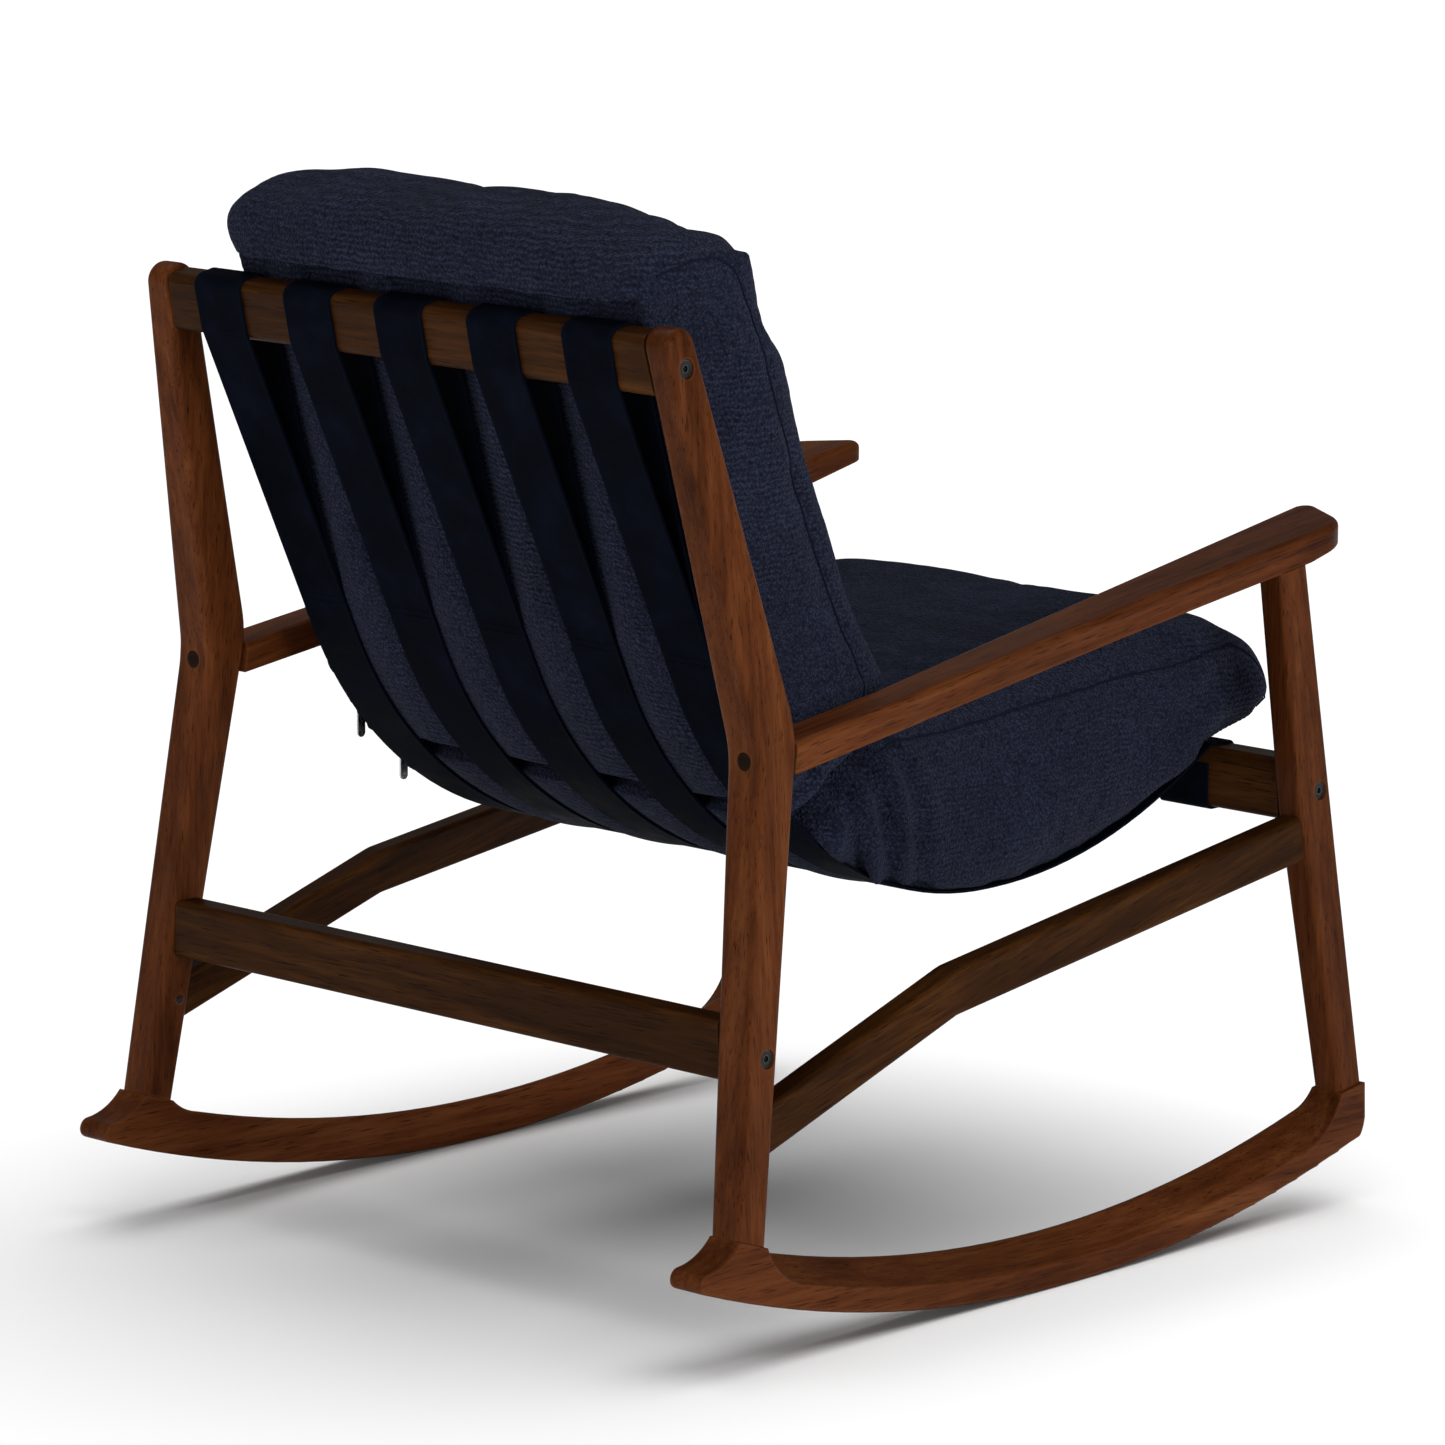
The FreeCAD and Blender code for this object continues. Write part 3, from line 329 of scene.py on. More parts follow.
def webbing():
    """Flat woven strap, ribbed across, with a firmer edge."""
    g = Graph("navy_webbing", Roughness=0.62, Specular_IOR_Level=0.006)
    run = g.add("ShaderNodeSeparateXYZ", {0: g.place})
    length = g.math("ADD", run.outputs[1], run.outputs[2])
    ribs = g.math("SINE", g.math("MULTIPLY", length, 2600.0))
    cords = g.math("SINE", g.math("MULTIPLY", run.outputs[0], 3600.0))
    twill = g.math("MULTIPLY", ribs, cords)
    from_middle = g.math("ABSOLUTE", g.math("SUBTRACT", g.math(
        "MODULO", g.math("ADD", run.outputs[0], 10.5 * STRAP_PITCH), STRAP_PITCH), STRAP_PITCH / 2))
    selvedge = g.grey(from_middle, 0.0, 1.0, 0.0218, 0.0232)
    dust = g.noise(g.place, 26.0, 4.0, 0.6)
    colour = g.ramp(g.math("ADD", g.math("MULTIPLY", twill, 0.18), dust), [
        (0.30, (0.0012, 0.0016, 0.0030)), (0.62, (0.0028, 0.0040, 0.0080)),
        (0.85, (0.0054, 0.0076, 0.0150))])
    g.set("Base Color", g.mix(g.math("MULTIPLY", selvedge, 0.5), colour, (0.003, 0.004, 0.009, 1)))
    g.set("Roughness", g.grey(dust, 0.48, 0.74, 0.3, 0.7))
    height = g.math("ADD", g.math("MULTIPLY", twill, 0.5), g.math("MULTIPLY", selvedge, 0.6))
    g.set("Normal", g.bump(height, 0.5, 0.0004))
    return g.material


def metal(name, colour, rough, base_metal):
    """Steel with fine scuffs: blackened on the bolts, bright on the zips."""
    g = Graph(name, Metallic=base_metal, Roughness=rough)
    scuff = g.noise(g.mapped((600, 600, 90)), 1.0, 4.0, 0.6)
    spots = g.noise(g.place, 240.0, 3.0)
    worn = g.convexity(0.0008)
    shade = g.ramp(scuff, [(0.3, [c * 0.7 for c in colour]), (0.7, [c * 1.25 for c in colour])])
    g.set("Base Color", g.mix(g.math("MULTIPLY", worn, 0.4), shade, (0.35, 0.34, 0.33, 1)))
    g.set("Roughness", g.grey(spots, rough * 0.8, rough * 1.3, 0.3, 0.7))
    g.set("Normal", g.bump(scuff, 0.15, 0.0001))
    return g.material


def thread(name, colour):
    """Twisted sewing thread and woven zip tape."""
    g = Graph(name, Roughness=0.8, Specular_IOR_Level=0.01)
    twist = g.noise(g.mapped((2500, 900, 900), (0.6, 0.4, 0.3)), 1.0, 2.0)
    fade = g.noise(g.place, 60.0, 3.0)
    g.set("Base Color", g.ramp(g.math("ADD", twist, g.math("MULTIPLY", fade, 0.3)), [
        (0.4, [c * 0.5 for c in colour]), (0.9, [c * 1.5 for c in colour])]))
    g.set("Roughness", g.grey(fade, 0.55, 0.85, 0.3, 0.7))
    g.set("Normal", g.bump(twist, 0.5, 0.0003))
    return g.material


RED_DARK, RED_MID, RED_LIGHT = (
    (0.024, 0.0060, 0.0014), (0.083, 0.0222, 0.0058), (0.146, 0.047, 0.0135))
BROWN_DARK, BROWN_MID, BROWN_LIGHT = (
    (0.009, 0.0032, 0.0008), (0.034, 0.0112, 0.0020), (0.078, 0.029, 0.0060))


def paint_frame():
    """Every CAD node that stays visible gets its real material."""
    runs = {
        "rear_post": (0.0, 0.0, 1.0),
        "front_post": (-0.05, 0.08, 1.0),
        "armrest": (0.0, -1.0, 0.14),
        "rocker": (0.0, 1.0, 0.02),
    }
    seed = 1.0
    for name, run in runs.items():
        for side in ("left", "right"):
            seed += 1.7
            repaint(name + "_" + side, wood(name + "_wood_" + side, run, RED_DARK, RED_MID,
                                            RED_LIGHT, seed))
    browns = {
        "side_stretcher_left": (0.0, 1.0, -0.25),
        "side_stretcher_right": (0.0, 1.0, -0.25),
        "top_rail": (1.0, 0.0, 0.0),
        "rear_stretcher": (1.0, 0.0, 0.0),
        "front_seat_rail": (1.0, 0.0, 0.0),
        "rear_post_dowels": (0.0, 0.2, 1.0),
        "front_post_dowels": (0.0, 0.2, 1.0),
        "armrest_dowels": (0.0, 0.0, 1.0),
        "side_stretcher_dowels": (0.0, 1.0, 0.0),
        "armrest_screw_plugs": (1.0, 0.0, 0.0),
    }
    for name, run in browns.items():
        seed += 1.7
        dark = 0.35 if name == "armrest_screw_plugs" else 1.0
        tones = [[c * dark for c in tone] for tone in (BROWN_DARK, BROWN_MID, BROWN_LIGHT)]
        repaint(name, wood(name + "_wood", run, *tones, seed))
    black = metal("blackened_steel", (0.012, 0.012, 0.013), 0.42, 0.6)
    for name in ("top_rail_bolts", "rear_stretcher_bolts", "front_rail_bolts", "armrest_screws",
                 "tenon_screws", "top_rail_barrel_nuts", "rear_stretcher_barrel_nuts",
                 "front_rail_barrel_nuts"):
        repaint(name, black)
    strap_cloth = webbing()
    for i in range(1, 6):
        repaint("strap_%d" % i, strap_cloth)
    bright = metal("zip_metal", (0.55, 0.55, 0.56), 0.28, 1.0)
    for name in ("seat_zip_slider", "back_zip_slider", "seat_zip_pull", "back_zip_pull"):
        repaint(name, bright)
    tape = thread("zip_tape", (0.006, 0.008, 0.018))
    for name in ("seat_zip_tape", "back_zip_tape"):
        repaint(name, tape)
    return bright


def repaint(name, material):
    slots = NODES[name].material_slots
    for slot in slots:
        slot.material = material


# ------------------------------------------------------------------ mesh helpers
def sling_points(y_from, y_to, count=24):
    """Points just over the straps, between two places seen from the side."""
    found = []
    for y in np.linspace(y_from, y_to, count) * MM:
        centre, radius = SEAT_CENTRE, SEAT_RADIUS
        if y > BACK_CENTRE[0]:
            centre, radius = BACK_CENTRE, BACK_RADIUS
        radius = radius - OUTLINE_LIFT
        z = centre[1] - math.sqrt(radius ** 2 - (y - centre[0]) ** 2)
        if y < RISE_START_Y:
            z = RISE_START_Z + (RISE_START_Y - y) * RISE_SLOPE
        found.append((y / MM, z / MM))
    return found


def curve(points, count, closed=True):
    """Evenly spaced points along a smooth curve through (y, z) points in millimetres."""
    points = np.array(points, float) * MM
    if closed:
        ends = (points[-1:], points[:2])
    else:
        ends = (points[:1] * 2 - points[1:2], points[-1:] * 2 - points[-2:-1])
    padded = np.vstack((ends[0], points, ends[1]))
    found = []
    for i in range(1, len(padded) - 2):
        p0, p1, p2, p3 = padded[i - 1:i + 3]
        for t in np.linspace(0, 1, 12, endpoint=False):
            found.append(0.5 * (2 * p1 + (p2 - p0) * t + (2 * p0 - 5 * p1 + 4 * p2 - p3) * t ** 2
                                + (3 * p1 - p0 - 3 * p2 + p3) * t ** 3))
    found.append(padded[-2])
    found = np.array(found)
    steps = np.linalg.norm(np.diff(found, axis=0), axis=1)
    length = np.concatenate(([0], np.cumsum(steps)))
    at = np.linspace(0, length[-1], count, endpoint=not closed)
    return np.column_stack([np.interp(at, length, found[:, k]) for k in (0, 1)])


def make_object(name, vertices, faces, material):
    mesh = bpy.data.meshes.new(name)
    mesh.from_pydata([tuple(v) for v in vertices], [], faces)
    mesh.update()
    obj = bpy.data.objects.new(name, mesh)
    bpy.context.scene.collection.objects.link(obj)
    obj.data.materials.append(material)
    return obj


def smooth(obj):
    for polygon in obj.data.polygons:
        polygon.use_smooth = True


def apply_modifiers(obj):
    graph = bpy.context.evaluated_depsgraph_get()
    mesh = bpy.data.meshes.new_from_object(obj.evaluated_get(graph))
    obj.modifiers.clear()
    old = obj.data
    obj.data = mesh
    bpy.data.meshes.remove(old)


def crown(obj, name):
    """Lets the corners of a cushion fall away from its middle."""
    points = coordinates(obj)
    t = np.abs(points[:, 0]) / HALF_WIDTH
    if name == "back_cushion_pad":
        high = np.clip((points[:, 2] - BACK_TOP_Z) / BACK_TOP_RUN, 0, 1)
        drop = np.where(points[:, 0] < 0, BACK_DROP_RIGHT * t ** 3, BACK_DROP_LEFT * t ** 4)
        points[:, 2] -= drop * high
        taper = np.clip((points[:, 2] - TAPER_Z) / TAPER_RUN, 0, 1) * (points[:, 0] > 0)
        points[:, 0] *= 1 - TAPER * taper
    else:
        high = np.clip((points[:, 2] - SEAT_TOP_Z) / SEAT_TOP_RUN, 0, 1)
        high = high * np.clip((SEAT_REAR_Y - points[:, 1]) / SEAT_REAR_RUN, 0, 1)
        points[:, 2] -= SEAT_DROP * t ** 7 * high
        nose = np.clip((NOSE_Y - points[:, 1]) / NOSE_RUN, 0, 1)
        points[:, 1] += NOSE_PULL * t ** 6 * nose
    put(obj, points)


def ears(obj, corners):
    """The small pointed corners where the seams of a boxed cushion meet."""
    points = coordinates(obj)
    for centre, way in corners:
        gap = np.linalg.norm(points - np.array(centre), axis=1)
        points += np.exp(-(gap / EAR_RADIUS) ** 2)[:, None] * np.array(way)
    put(obj, points)


def loaf(name, shape, half_width, edge, material):
    """A closed form with this side outline, its two side edges well rounded."""
    outline = curve(shape, 190)
    tangent = np.roll(outline, -1, 0) - np.roll(outline, 1, 0)
    normal = np.column_stack((tangent[:, 1], -tangent[:, 0]))
    normal /= np.linalg.norm(normal, axis=1)[:, None]
    following = np.roll(outline, -1, 0)
    area = np.sum(outline[:, 0] * following[:, 1] - outline[:, 1] * following[:, 0])
    normal *= 1 if area > 0 else -1
    turns = np.linspace(-math.pi / 2, 0, 7)
    stations = [(-half_width + edge + edge * math.sin(t), edge - edge * math.cos(t)) for t in turns]
    stations += [(x, 0.0) for x in np.linspace(-half_width + edge, half_width - edge, 30)[1:-1]]
    stations += [(-x, inset) for x, inset in reversed(stations[:7])]
    vertices, faces = [], []
    count = len(outline)
    for x, inset in stations:
        ring = outline - normal * inset
        vertices += [(x, y, z) for y, z in ring]
    for i in range(len(stations) - 1):
        for j in range(count):
            k = (j + 1) % count
            faces.append((i * count + j, i * count + k, (i + 1) * count + k, (i + 1) * count + j))
    faces.append(tuple(reversed(range(count))))
    faces.append(tuple(range((len(stations) - 1) * count, len(stations) * count)))
    obj = make_object(name, vertices, faces, material)
    bm = bmesh.new()
    bm.from_mesh(obj.data)
    bmesh.ops.recalc_face_normals(bm, faces=bm.faces)
    bm.to_mesh(obj.data)
    bm.free()
    return obj


def inflate(obj):
    """Fills a cushion with air as cloth, and keeps each point near where it was."""
    remesh = obj.modifiers.new("remesh", "REMESH")
    remesh.mode = "VOXEL"
    remesh.voxel_size = 0.006
    apply_modifiers(obj)
    before = coordinates(obj)
    cloth = obj.modifiers.new("cloth", "CLOTH")
    cloth.settings.use_pressure = True
    cloth.settings.uniform_pressure_force = 4.0
    cloth.settings.tension_stiffness = 12.0
    cloth.settings.compression_stiffness = 12.0
    cloth.settings.effector_weights.gravity = 0.0
    cloth.point_cache.frame_start = 1
    cloth.point_cache.frame_end = 20
    scene = bpy.context.scene
    for number in range(1, 21):
        scene.frame_set(number)
    apply_modifiers(obj)
    scene.frame_set(1)
    moved = coordinates(obj) - before
    size = np.linalg.norm(moved, axis=1)
    limit = np.minimum(1.0, SWELL_CAP / np.maximum(size, 1e-9))
    put(obj, before + moved * limit[:, None] * SWELL_SHARE)
    put(obj, coordinates(obj) + normals(obj) * PLUMPNESS)
    subdivide(obj)


def subdivide(obj):
    sub = obj.modifiers.new("subdivision", "SUBSURF")
    sub.levels = 1
    sub.render_levels = 1
    apply_modifiers(obj)


def coordinates(obj):
    flat = np.empty(len(obj.data.vertices) * 3, dtype=np.float32)
    obj.data.vertices.foreach_get("co", flat)
    return flat.reshape(-1, 3).astype(float)


def normals(obj):
    flat = np.empty(len(obj.data.vertices) * 3, dtype=np.float32)
    obj.data.vertices.foreach_get("normal", flat)
    return flat.reshape(-1, 3).astype(float)


def put(obj, points):
    obj.data.vertices.foreach_set("co", points.astype(np.float32).ravel())
    obj.data.update()


# ------------------------------------------------------------------ cushions in the sling
def sling_clearance(points):
    """Distance in from the straps' upper faces, and the way in, for (y, z) points."""
    from_back = points - BACK_CENTRE
    from_seat = points - SEAT_CENTRE
    reach_back = np.linalg.norm(from_back, axis=1)
    reach_seat = np.linalg.norm(from_seat, axis=1)
    gap = BACK_RADIUS - reach_back
    way = -from_back / reach_back[:, None]
    upper = from_back @ DOWN < 0
    gap[upper] = BACK_RADIUS + (from_back @ BACK_NORMAL)[upper]
    way[upper] = BACK_NORMAL
    front = points[:, 0] < BACK_CENTRE[0]
    gap[front] = (SEAT_RADIUS - reach_seat)[front]
    way[front] = (-from_seat / reach_seat[:, None])[front]
    rise = front & (from_seat @ FRONT_RUN > 0)
    gap[rise] = SEAT_RADIUS + (from_seat @ FRONT_NORMAL)[rise]
    way[rise] = FRONT_NORMAL
    return gap, way


def between_straps(x):
    """0 on a strap, rising to 1 midway between two straps."""
    from_strap = np.min(np.abs(x[:, None] - np.array(STRAP_X)[None, :]), axis=1)
    t = np.clip((from_strap - STRAP_HALF) / (STRAP_PITCH / 2 - STRAP_HALF), 0, 1)
    return np.sin(t * math.pi / 2)


def settle(obj, lean_on_legs):
    """Presses a cushion against the sling: flat on each strap, swelling between them."""
    points = coordinates(obj)
    for _ in range(2):
        side = points[:, 1:3]
        gap, way = sling_clearance(side)
        swell = between_straps(points[:, 0])
        past_edge = np.abs(points[:, 0]) - STRAP_EDGE
        outside = past_edge > 0
        t = np.clip(past_edge / SPILL_RUN, 0, 1)
        rear = np.clip((side[:, 0] - SPILL_REAR_Y) / SPILL_REAR_RUN, 0, 1)
        spill = np.where(points[:, 0] < 0, SPILL_RIGHT + SPILL_RIGHT_REAR * rear, SPILL_LEFT)
        allowed = np.where(outside, REST_GAP - spill * t, REST_GAP - SWELL_BETWEEN * swell)
        allowed = np.where(side[:, 0] < NEAR_RAIL_Y, np.maximum(allowed, REST_GAP), allowed)
        short = np.maximum(0, allowed - gap)
        points[:, 1:3] += way * short[:, None]
        if lean_on_legs:
            lean(points, swell, outside, t)
    gap, way = sling_clearance(points[:, 1:3])
    t = np.clip((-points[:, 0] - STRAP_EDGE) / SAG_RUN, 0, 1)
    sag = np.interp(points[:, 1], SAG_Y, SAG_DEPTH) * t * np.exp(-np.maximum(gap, 0) / SAG_FADE)
    points[:, 1:3] -= way * sag[:, None]
    over_rail = (points[:, 1] < RAIL_REAR_Y) & (points[:, 2] < RAIL_CLEAR_Z)
    points[over_rail, 2] = RAIL_CLEAR_Z
    put(obj, points)


def lean(points, swell, outside, t):
    """Keeps the back cushion in front of the straps' rear legs, up to the top rail."""
    run = (LEG_TOP - LEG_FOOT) / np.linalg.norm(LEG_TOP - LEG_FOOT)
    ahead = np.array((-run[1], run[0]))
    clear = (points[:, 1:3] - LEG_FOOT) @ ahead
    height = (points[:, 1:3] - LEG_FOOT) @ run
    below = np.clip(-height / LEG_FADE, 0, 1)
    need = LEG_GAP - LEG_SWELL * swell * (np.abs(points[:, 0]) < HALF_WIDTH)
    need = np.where(outside, LEG_GAP - LEG_SPILL * t, need)
    on_leg = np.where(height > LEG_REACH, 0.0, 1.0)
    push = np.maximum(0, need - clear) * (1 - below) * on_leg
    points[:, 1:3] += ahead * push[:, None]


def ripple(point, scale, seed):
    x, y, z = point
    return noise.noise(Vector((x * scale + seed, y * scale, z * scale + seed * 0.37)))


def rumple(obj, seed, folds):
    """Soft hollows and puckers in the stuffing, and folds near given places."""
    points = coordinates(obj)
    outward = normals(obj)
    move = np.zeros(len(points))
    for i, p in enumerate(points):
        move[i] = sum(depth * ripple(p, scale, seed + shift) for depth, scale, shift in HOLLOWS)
    for centre, spread, wave, run, depth in folds:
        offset = points - np.array(centre)
        weight = np.exp(-np.sum((offset / np.array(spread)) ** 2, axis=1))
        phase = offset @ np.array(run) * (2 * math.pi / wave)
        for i in np.nonzero(weight > 0.02)[0]:
            phase[i] += 2.4 * ripple(points[i], 14, seed + 11)
        move += depth * weight * np.sin(phase)
    put(obj, points + outward * move[:, None])


def groove(obj, line, depth, width):
    """Draws the cloth in along a seam. Returns the seam's line, laid on the cloth."""
    tree = BVHTree.FromObject(obj, bpy.context.evaluated_depsgraph_get())
    laid = []
    for point in line:
        found, normal, _, _ = tree.find_nearest(Vector(point))
        laid.append((np.array(found), np.array(normal)))
    places = np.array([p for p, _ in laid])
    points = coordinates(obj)
    outward = normals(obj)
    low, high = places.min(0) - 3 * width, places.max(0) + 3 * width
    near = np.nonzero(np.all((points > low) & (points < high), axis=1))[0]
    for start in range(0, len(near), 4000):
        block = near[start:start + 4000]
        gap = np.linalg.norm(points[block][:, None, :] - places[None, :, :], axis=2).min(axis=1)
        points[block] -= outward[block] * (depth * np.exp(-(gap / width) ** 2))[:, None]
    put(obj, points)
    return [p - n * (depth * 0.72) for p, n in laid]


def tube(name, lines, radius, material, sides=8):
    """Round cords along lines, in one mesh."""
    vertices, faces = [], []
    for line in lines:
        line = [np.array(p) for p in line]
        first = len(vertices)
        last_up = np.array((0.31, 0.17, 0.93))
        for i, p in enumerate(line):
            run = line[min(i + 1, len(line) - 1)] - line[max(i - 1, 0)]
            run = run / max(np.linalg.norm(run), 1e-9)
            across = np.cross(run, last_up)
            across /= max(np.linalg.norm(across), 1e-9)
            up = np.cross(across, run)
            last_up = up
            for k in range(sides):
                a = 2 * math.pi * k / sides
                vertices.append(p + radius * (across * math.cos(a) + up * math.sin(a)))
        for i in range(len(line) - 1):
            for k in range(sides):
                n = (k + 1) % sides
                a, b = first + i * sides, first + (i + 1) * sides
                faces.append((a + k, a + n, b + n, b + k))
        faces.append(tuple(first + k for k in reversed(range(sides))))
        faces.append(tuple(first + (len(line) - 1) * sides + k for k in range(sides)))
    obj = make_object(name, vertices, faces, material)
    smooth(obj)
    return obj


def dashes(line, length, gap):
    """Splits a line into stitches."""
    line = np.array(line)
    steps = np.linalg.norm(np.diff(line, axis=0), axis=1)
    at = np.concatenate(([0], np.cumsum(steps)))
    pieces = []
    start = 0.0
    while start + length < at[-1]:
        spots = np.linspace(start, start + length, 4)
        pieces.append(np.column_stack([np.interp(spots, at, line[:, k]) for k in range(3)]))
        start += length + gap
    return pieces


def cushion(name, shape, side_round, seam, body, node, seed, folds, corners, cloth, stitch,
            legs):
    obj = loaf(name, shape, HALF_WIDTH - 0.002, side_round, cloth)
    crown(obj, name)
    inflate(obj)
    rumple(obj, seed, folds)
    ears(obj, corners)
    settle(obj, legs)
    keep_clear(obj, name)
    seams = []
    for side in (-1, 1):
        line = [(side * (HALF_WIDTH - SEAM_INSET), y, z) for y, z in curve(seam, 160, False)]
        seams.append(groove(obj, line, SEAM_DEPTH, SEAM_WIDTH))
    smooth(obj)
    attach(obj, body)
    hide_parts(node + "_cover", node + "_foam")
    piping = tube(name + "_seams", seams, SEAM_RADIUS, stitch)
    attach(piping, body)


def keep_clear(obj, name):
    """Keeps the cushions apart at the crease, drawn in at its ends, and clear of the frame."""
    points = coordinates(obj)
    run = (CREASE_REAR - CREASE) / np.linalg.norm(CREASE_REAR - CREASE)
    ahead = np.array((run[1], -run[0]))
    if name == "back_cushion_pad":
        ahead = -ahead
    offset = points[:, 1:3] - CREASE
    depth = offset @ ahead
    along = offset @ run
    near = (along > CREASE_FROM) & (along < CREASE_TO)
    short = np.where(near, np.maximum(0, CREASE_GAP - depth), 0)
    points[:, 1:3] += ahead * short[:, None]
    off_line = np.hypot(depth, np.clip(-along - PINCH_LEAD, 0, None))
    side_face = np.clip((np.abs(points[:, 0]) - PINCH_X) / PINCH_RUN, 0, 1)
    points[:, 0] *= 1 - PINCH * side_face * np.exp(-(off_line / PINCH_RADIUS) ** 2)
    points[:, 0] = np.clip(points[:, 0], RIGHT_LIMIT, LEFT_LIMIT)
    put(obj, points)


# ------------------------------------------------------------------ trim
def zip_teeth(name, line, body, material):
    """The zip's teeth, in two rows that mesh, on the tape on the cushion's left side."""
    (y0, z0), (y1, z1) = line
    start = np.array((y0, z0)) * MM
    run = np.array((y1 - y0, z1 - z0)) * MM
    length = np.linalg.norm(run)
    run = run / length
    across = np.array((-run[1], run[0]))
    vertices, faces = [], []
    count = int((length - TEETH_FREE) / TEETH_PITCH)
    for i in range(count):
        row = 1 if i % 2 else -1
        centre = start + run * (TEETH_START + i * TEETH_PITCH) + across * row * TEETH_STAGGER
        first = len(vertices)
        for x, grow in ((TOOTH_FOOT_X, 1.0), (TOOTH_TOP_X, TOOTH_TOP_SCALE)):
            for a, b in ((-1, -1), (1, -1), (1, 1), (-1, 1)):
                spot = centre + run * a * TOOTH_HALF_LENGTH * grow
                spot = spot + across * b * TOOTH_HALF_WIDTH * grow
                vertices.append((x, spot[0], spot[1]))
        a = first
        faces += [(a, a + 3, a + 2, a + 1), (a + 4, a + 5, a + 6, a + 7)]
        faces += [(a + k, a + (k + 1) % 4, a + 4 + (k + 1) % 4, a + 4 + k) for k in range(4)]
    obj = make_object(name, vertices, faces, material)
    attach(obj, body)


def strap_stitching(material):
    """Two rows of stitches across each strap's lap below the top rail, seen from behind."""
    outer = -BACK_NORMAL
    corner = BACK_CENTRE - BACK_NORMAL * (BACK_RADIUS + STRAP_THICKNESS)
    up = -DOWN
    base = corner + up * LAP_SEAM_UP
    lines = []
    for x in STRAP_X:
        for rise in LAP_SEAM_RISES:
            spot = base + up * rise + outer * STITCH_PROUD
            ends = [np.array((x + side * LAP_SEAM_HALF, spot[0], spot[1])) for side in (-1, 1)]
            lines += dashes(ends, STITCH_LENGTH, STITCH_SPACE)
    obj = tube("strap_stitches", lines, STITCH_RADIUS, material, 6)
    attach(obj, "frame")


# ------------------------------------------------------------------ build
zip_bright = paint_frame()
cover = terry()
seam_thread = thread("seam_thread", (0.0075, 0.0092, 0.0190))
strap_thread = thread("strap_thread", (0.0035, 0.0045, 0.0090))

back_shape = BACK_SHAPE + sling_points(*BACK_IN_SLING, 6) + BACK_FRONT
seat_shape = SEAT_SHAPE + sling_points(*SEAT_IN_SLING) + SEAT_FRONT
cushion("back_cushion_pad", back_shape, BACK_SIDE_ROUND, BACK_SEAM, "back_cushion",
        "back_cushion", 2.0, BACK_FOLDS, BACK_EARS, cover, seam_thread, True)
cushion("seat_cushion_pad", seat_shape, SEAT_SIDE_ROUND, SEAT_SEAM, "seat_cushion",
        "seat_cushion", 9.0, SEAT_FOLDS, SEAT_EARS, cover, seam_thread, False)
zip_teeth("seat_zip_teeth", SEAT_ZIP, "seat_cushion", zip_bright)
zip_teeth("back_zip_teeth", BACK_ZIP, "back_cushion", zip_bright)
strap_stitching(strap_thread)


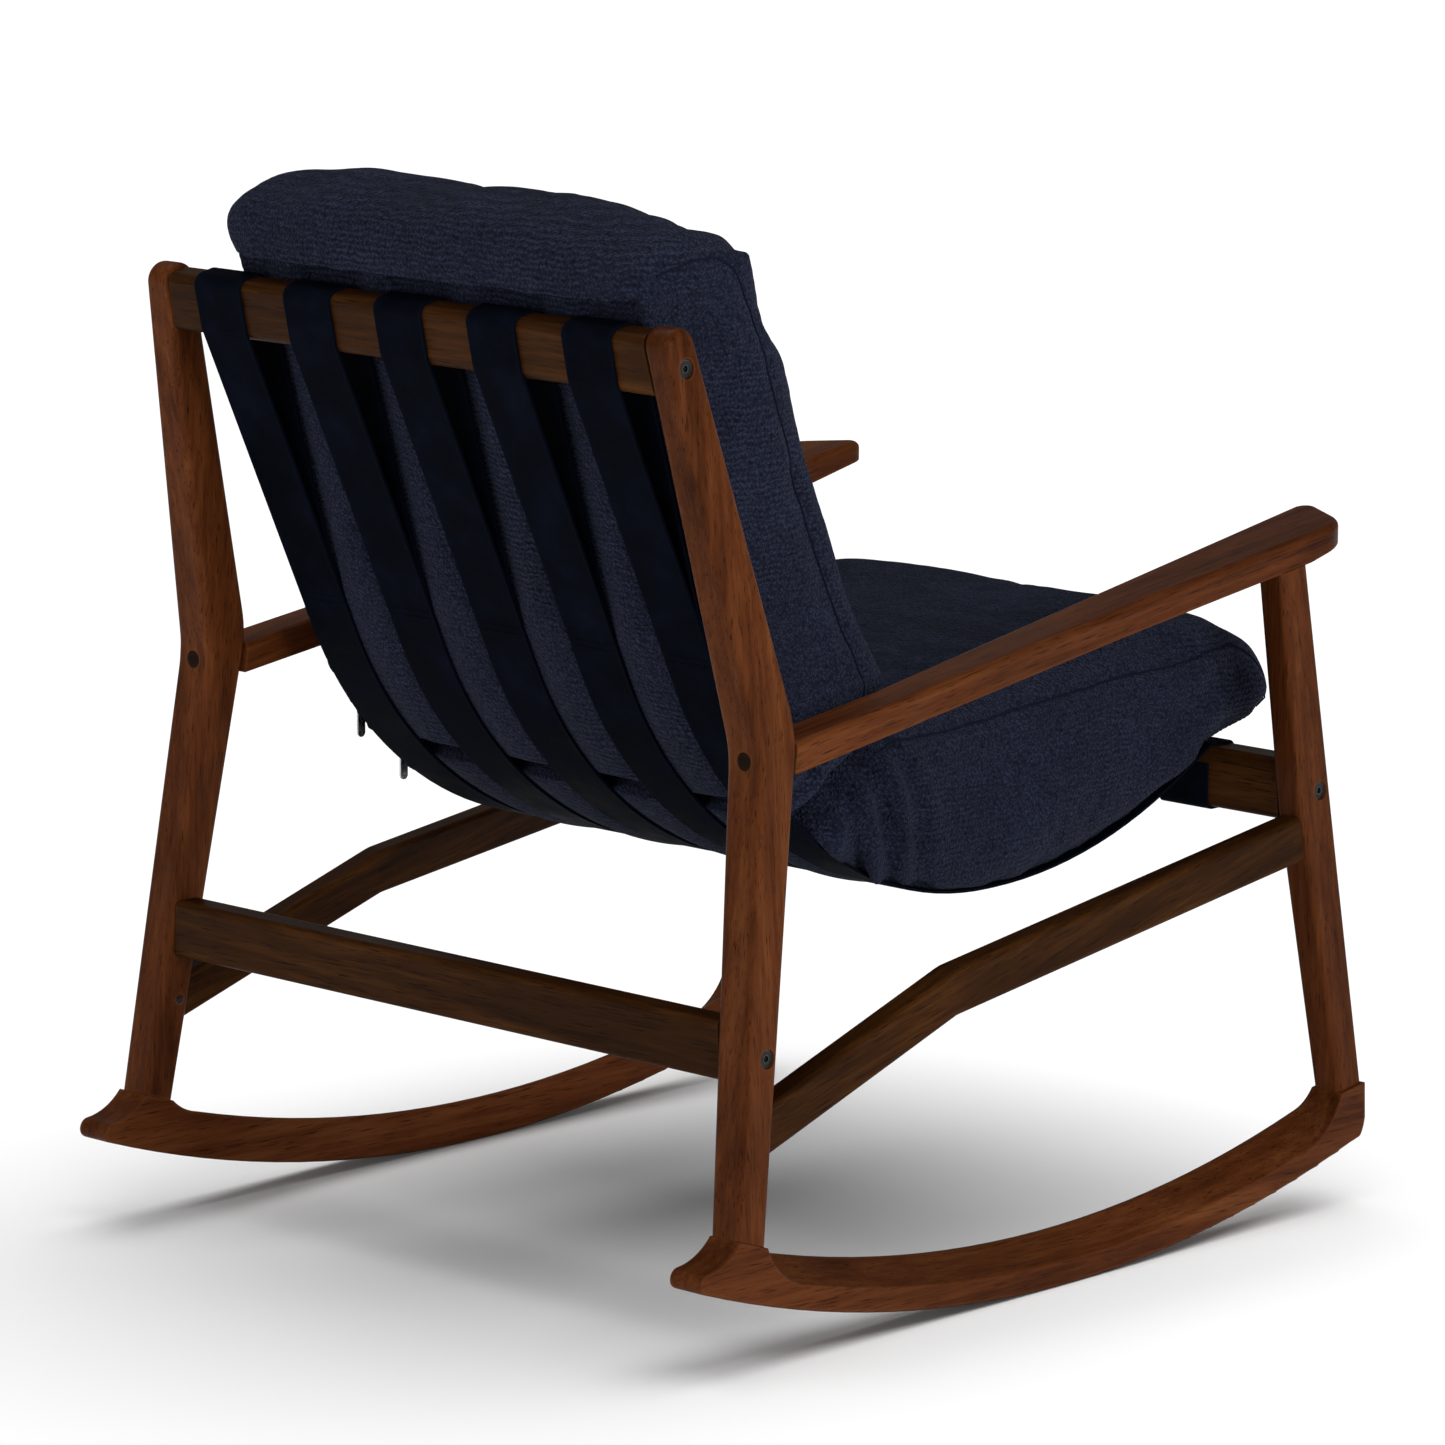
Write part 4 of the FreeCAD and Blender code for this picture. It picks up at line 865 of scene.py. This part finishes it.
# ------------------------------------------------------------------ studio
def studio():
    scene = bpy.context.scene
    floor_look = Graph("studio_floor", Roughness=0.9, Specular_IOR_Level=0.1)
    cloud = floor_look.noise(floor_look.place, 0.8, 2.0)
    floor_look.set("Base Color", floor_look.ramp(cloud, [
        (0.3, (0.90, 0.90, 0.90)), (0.7, (0.92, 0.92, 0.92))]))
    seen = floor_look.add("ShaderNodeLightPath").outputs["Is Camera Ray"]
    floor_look.shader.inputs["Emission Color"].default_value = (1, 1, 1, 1)
    floor_look.set("Emission Strength", floor_look.grey(seen, 0.0, FLOOR_GLOW))
    size = FLOOR_HALF
    corners = [(-size, -size, 0), (size, -size, 0), (size, size, 0), (-size, size, 0)]
    floor = make_object("floor", corners, [(0, 1, 2, 3)], floor_look.material)

    world = bpy.data.worlds.new("studio")
    scene.world = world
    world.use_nodes = True
    background = world.node_tree.nodes["Background"]
    background.inputs["Color"].default_value = (1, 1, 1, 1)
    background.inputs["Strength"].default_value = WORLD_LIGHT

    def softbox(name, place, target, width, height, power):
        data = bpy.data.lights.new(name, "AREA")
        data.shape = "RECTANGLE"
        data.size = width
        data.size_y = height
        data.energy = power
        lamp = bpy.data.objects.new(name, data)
        lamp.location = place
        aim = Vector(target) - Vector(place)
        lamp.rotation_euler = aim.to_track_quat("-Z", "Y").to_euler()
        scene.collection.objects.link(lamp)

    for box in SOFTBOXES:
        softbox(*box)

    overhead = bpy.data.lights.new("overhead", "SUN")
    overhead.energy = OVERHEAD_POWER
    overhead.angle = math.radians(OVERHEAD_ANGLE)
    lamp = bpy.data.objects.new("overhead", overhead)
    lamp.rotation_euler = [math.radians(angle) for angle in OVERHEAD_TILT]
    scene.collection.objects.link(lamp)
    # the overhead light falls on the floor alone, and the softboxes on the chair alone
    only_floor = bpy.data.collections.new("lit_by_overhead")
    only_floor.objects.link(floor)
    lamp.light_linking.receiver_collection = only_floor
    not_floor = bpy.data.collections.new("not_lit_by_softboxes")
    not_floor.objects.link(floor)
    not_floor.collection_objects[0].light_linking.link_state = "EXCLUDE"
    for box in SOFTBOXES:
        bpy.data.objects[box[0]].light_linking.receiver_collection = not_floor

    yaw, pitch, roll = (math.radians(a) for a in (CAMERA_YAW, CAMERA_PITCH, CAMERA_ROLL))
    forward = Vector((math.sin(yaw) * math.cos(pitch), -math.cos(yaw) * math.cos(pitch),
                      -math.sin(pitch)))
    right = forward.cross(Vector((0, 0, 1))).normalized()
    up = right.cross(forward)
    right, up = (right * math.cos(roll) + up * math.sin(roll),
                 up * math.cos(roll) - right * math.sin(roll))
    data = bpy.data.cameras.new("camera")
    data.lens = CAMERA_LENS
    data.sensor_width = 36.0
    data.clip_end = 200
    camera = bpy.data.objects.new("camera", data)
    rows = [(right[k], up[k], -forward[k], CAMERA_PLACE[k]) for k in range(3)]
    camera.matrix_world = Matrix((*rows, (0, 0, 0, 1)))
    scene.collection.objects.link(camera)
    scene.camera = camera
    scene.view_settings.view_transform = "Standard"


studio()
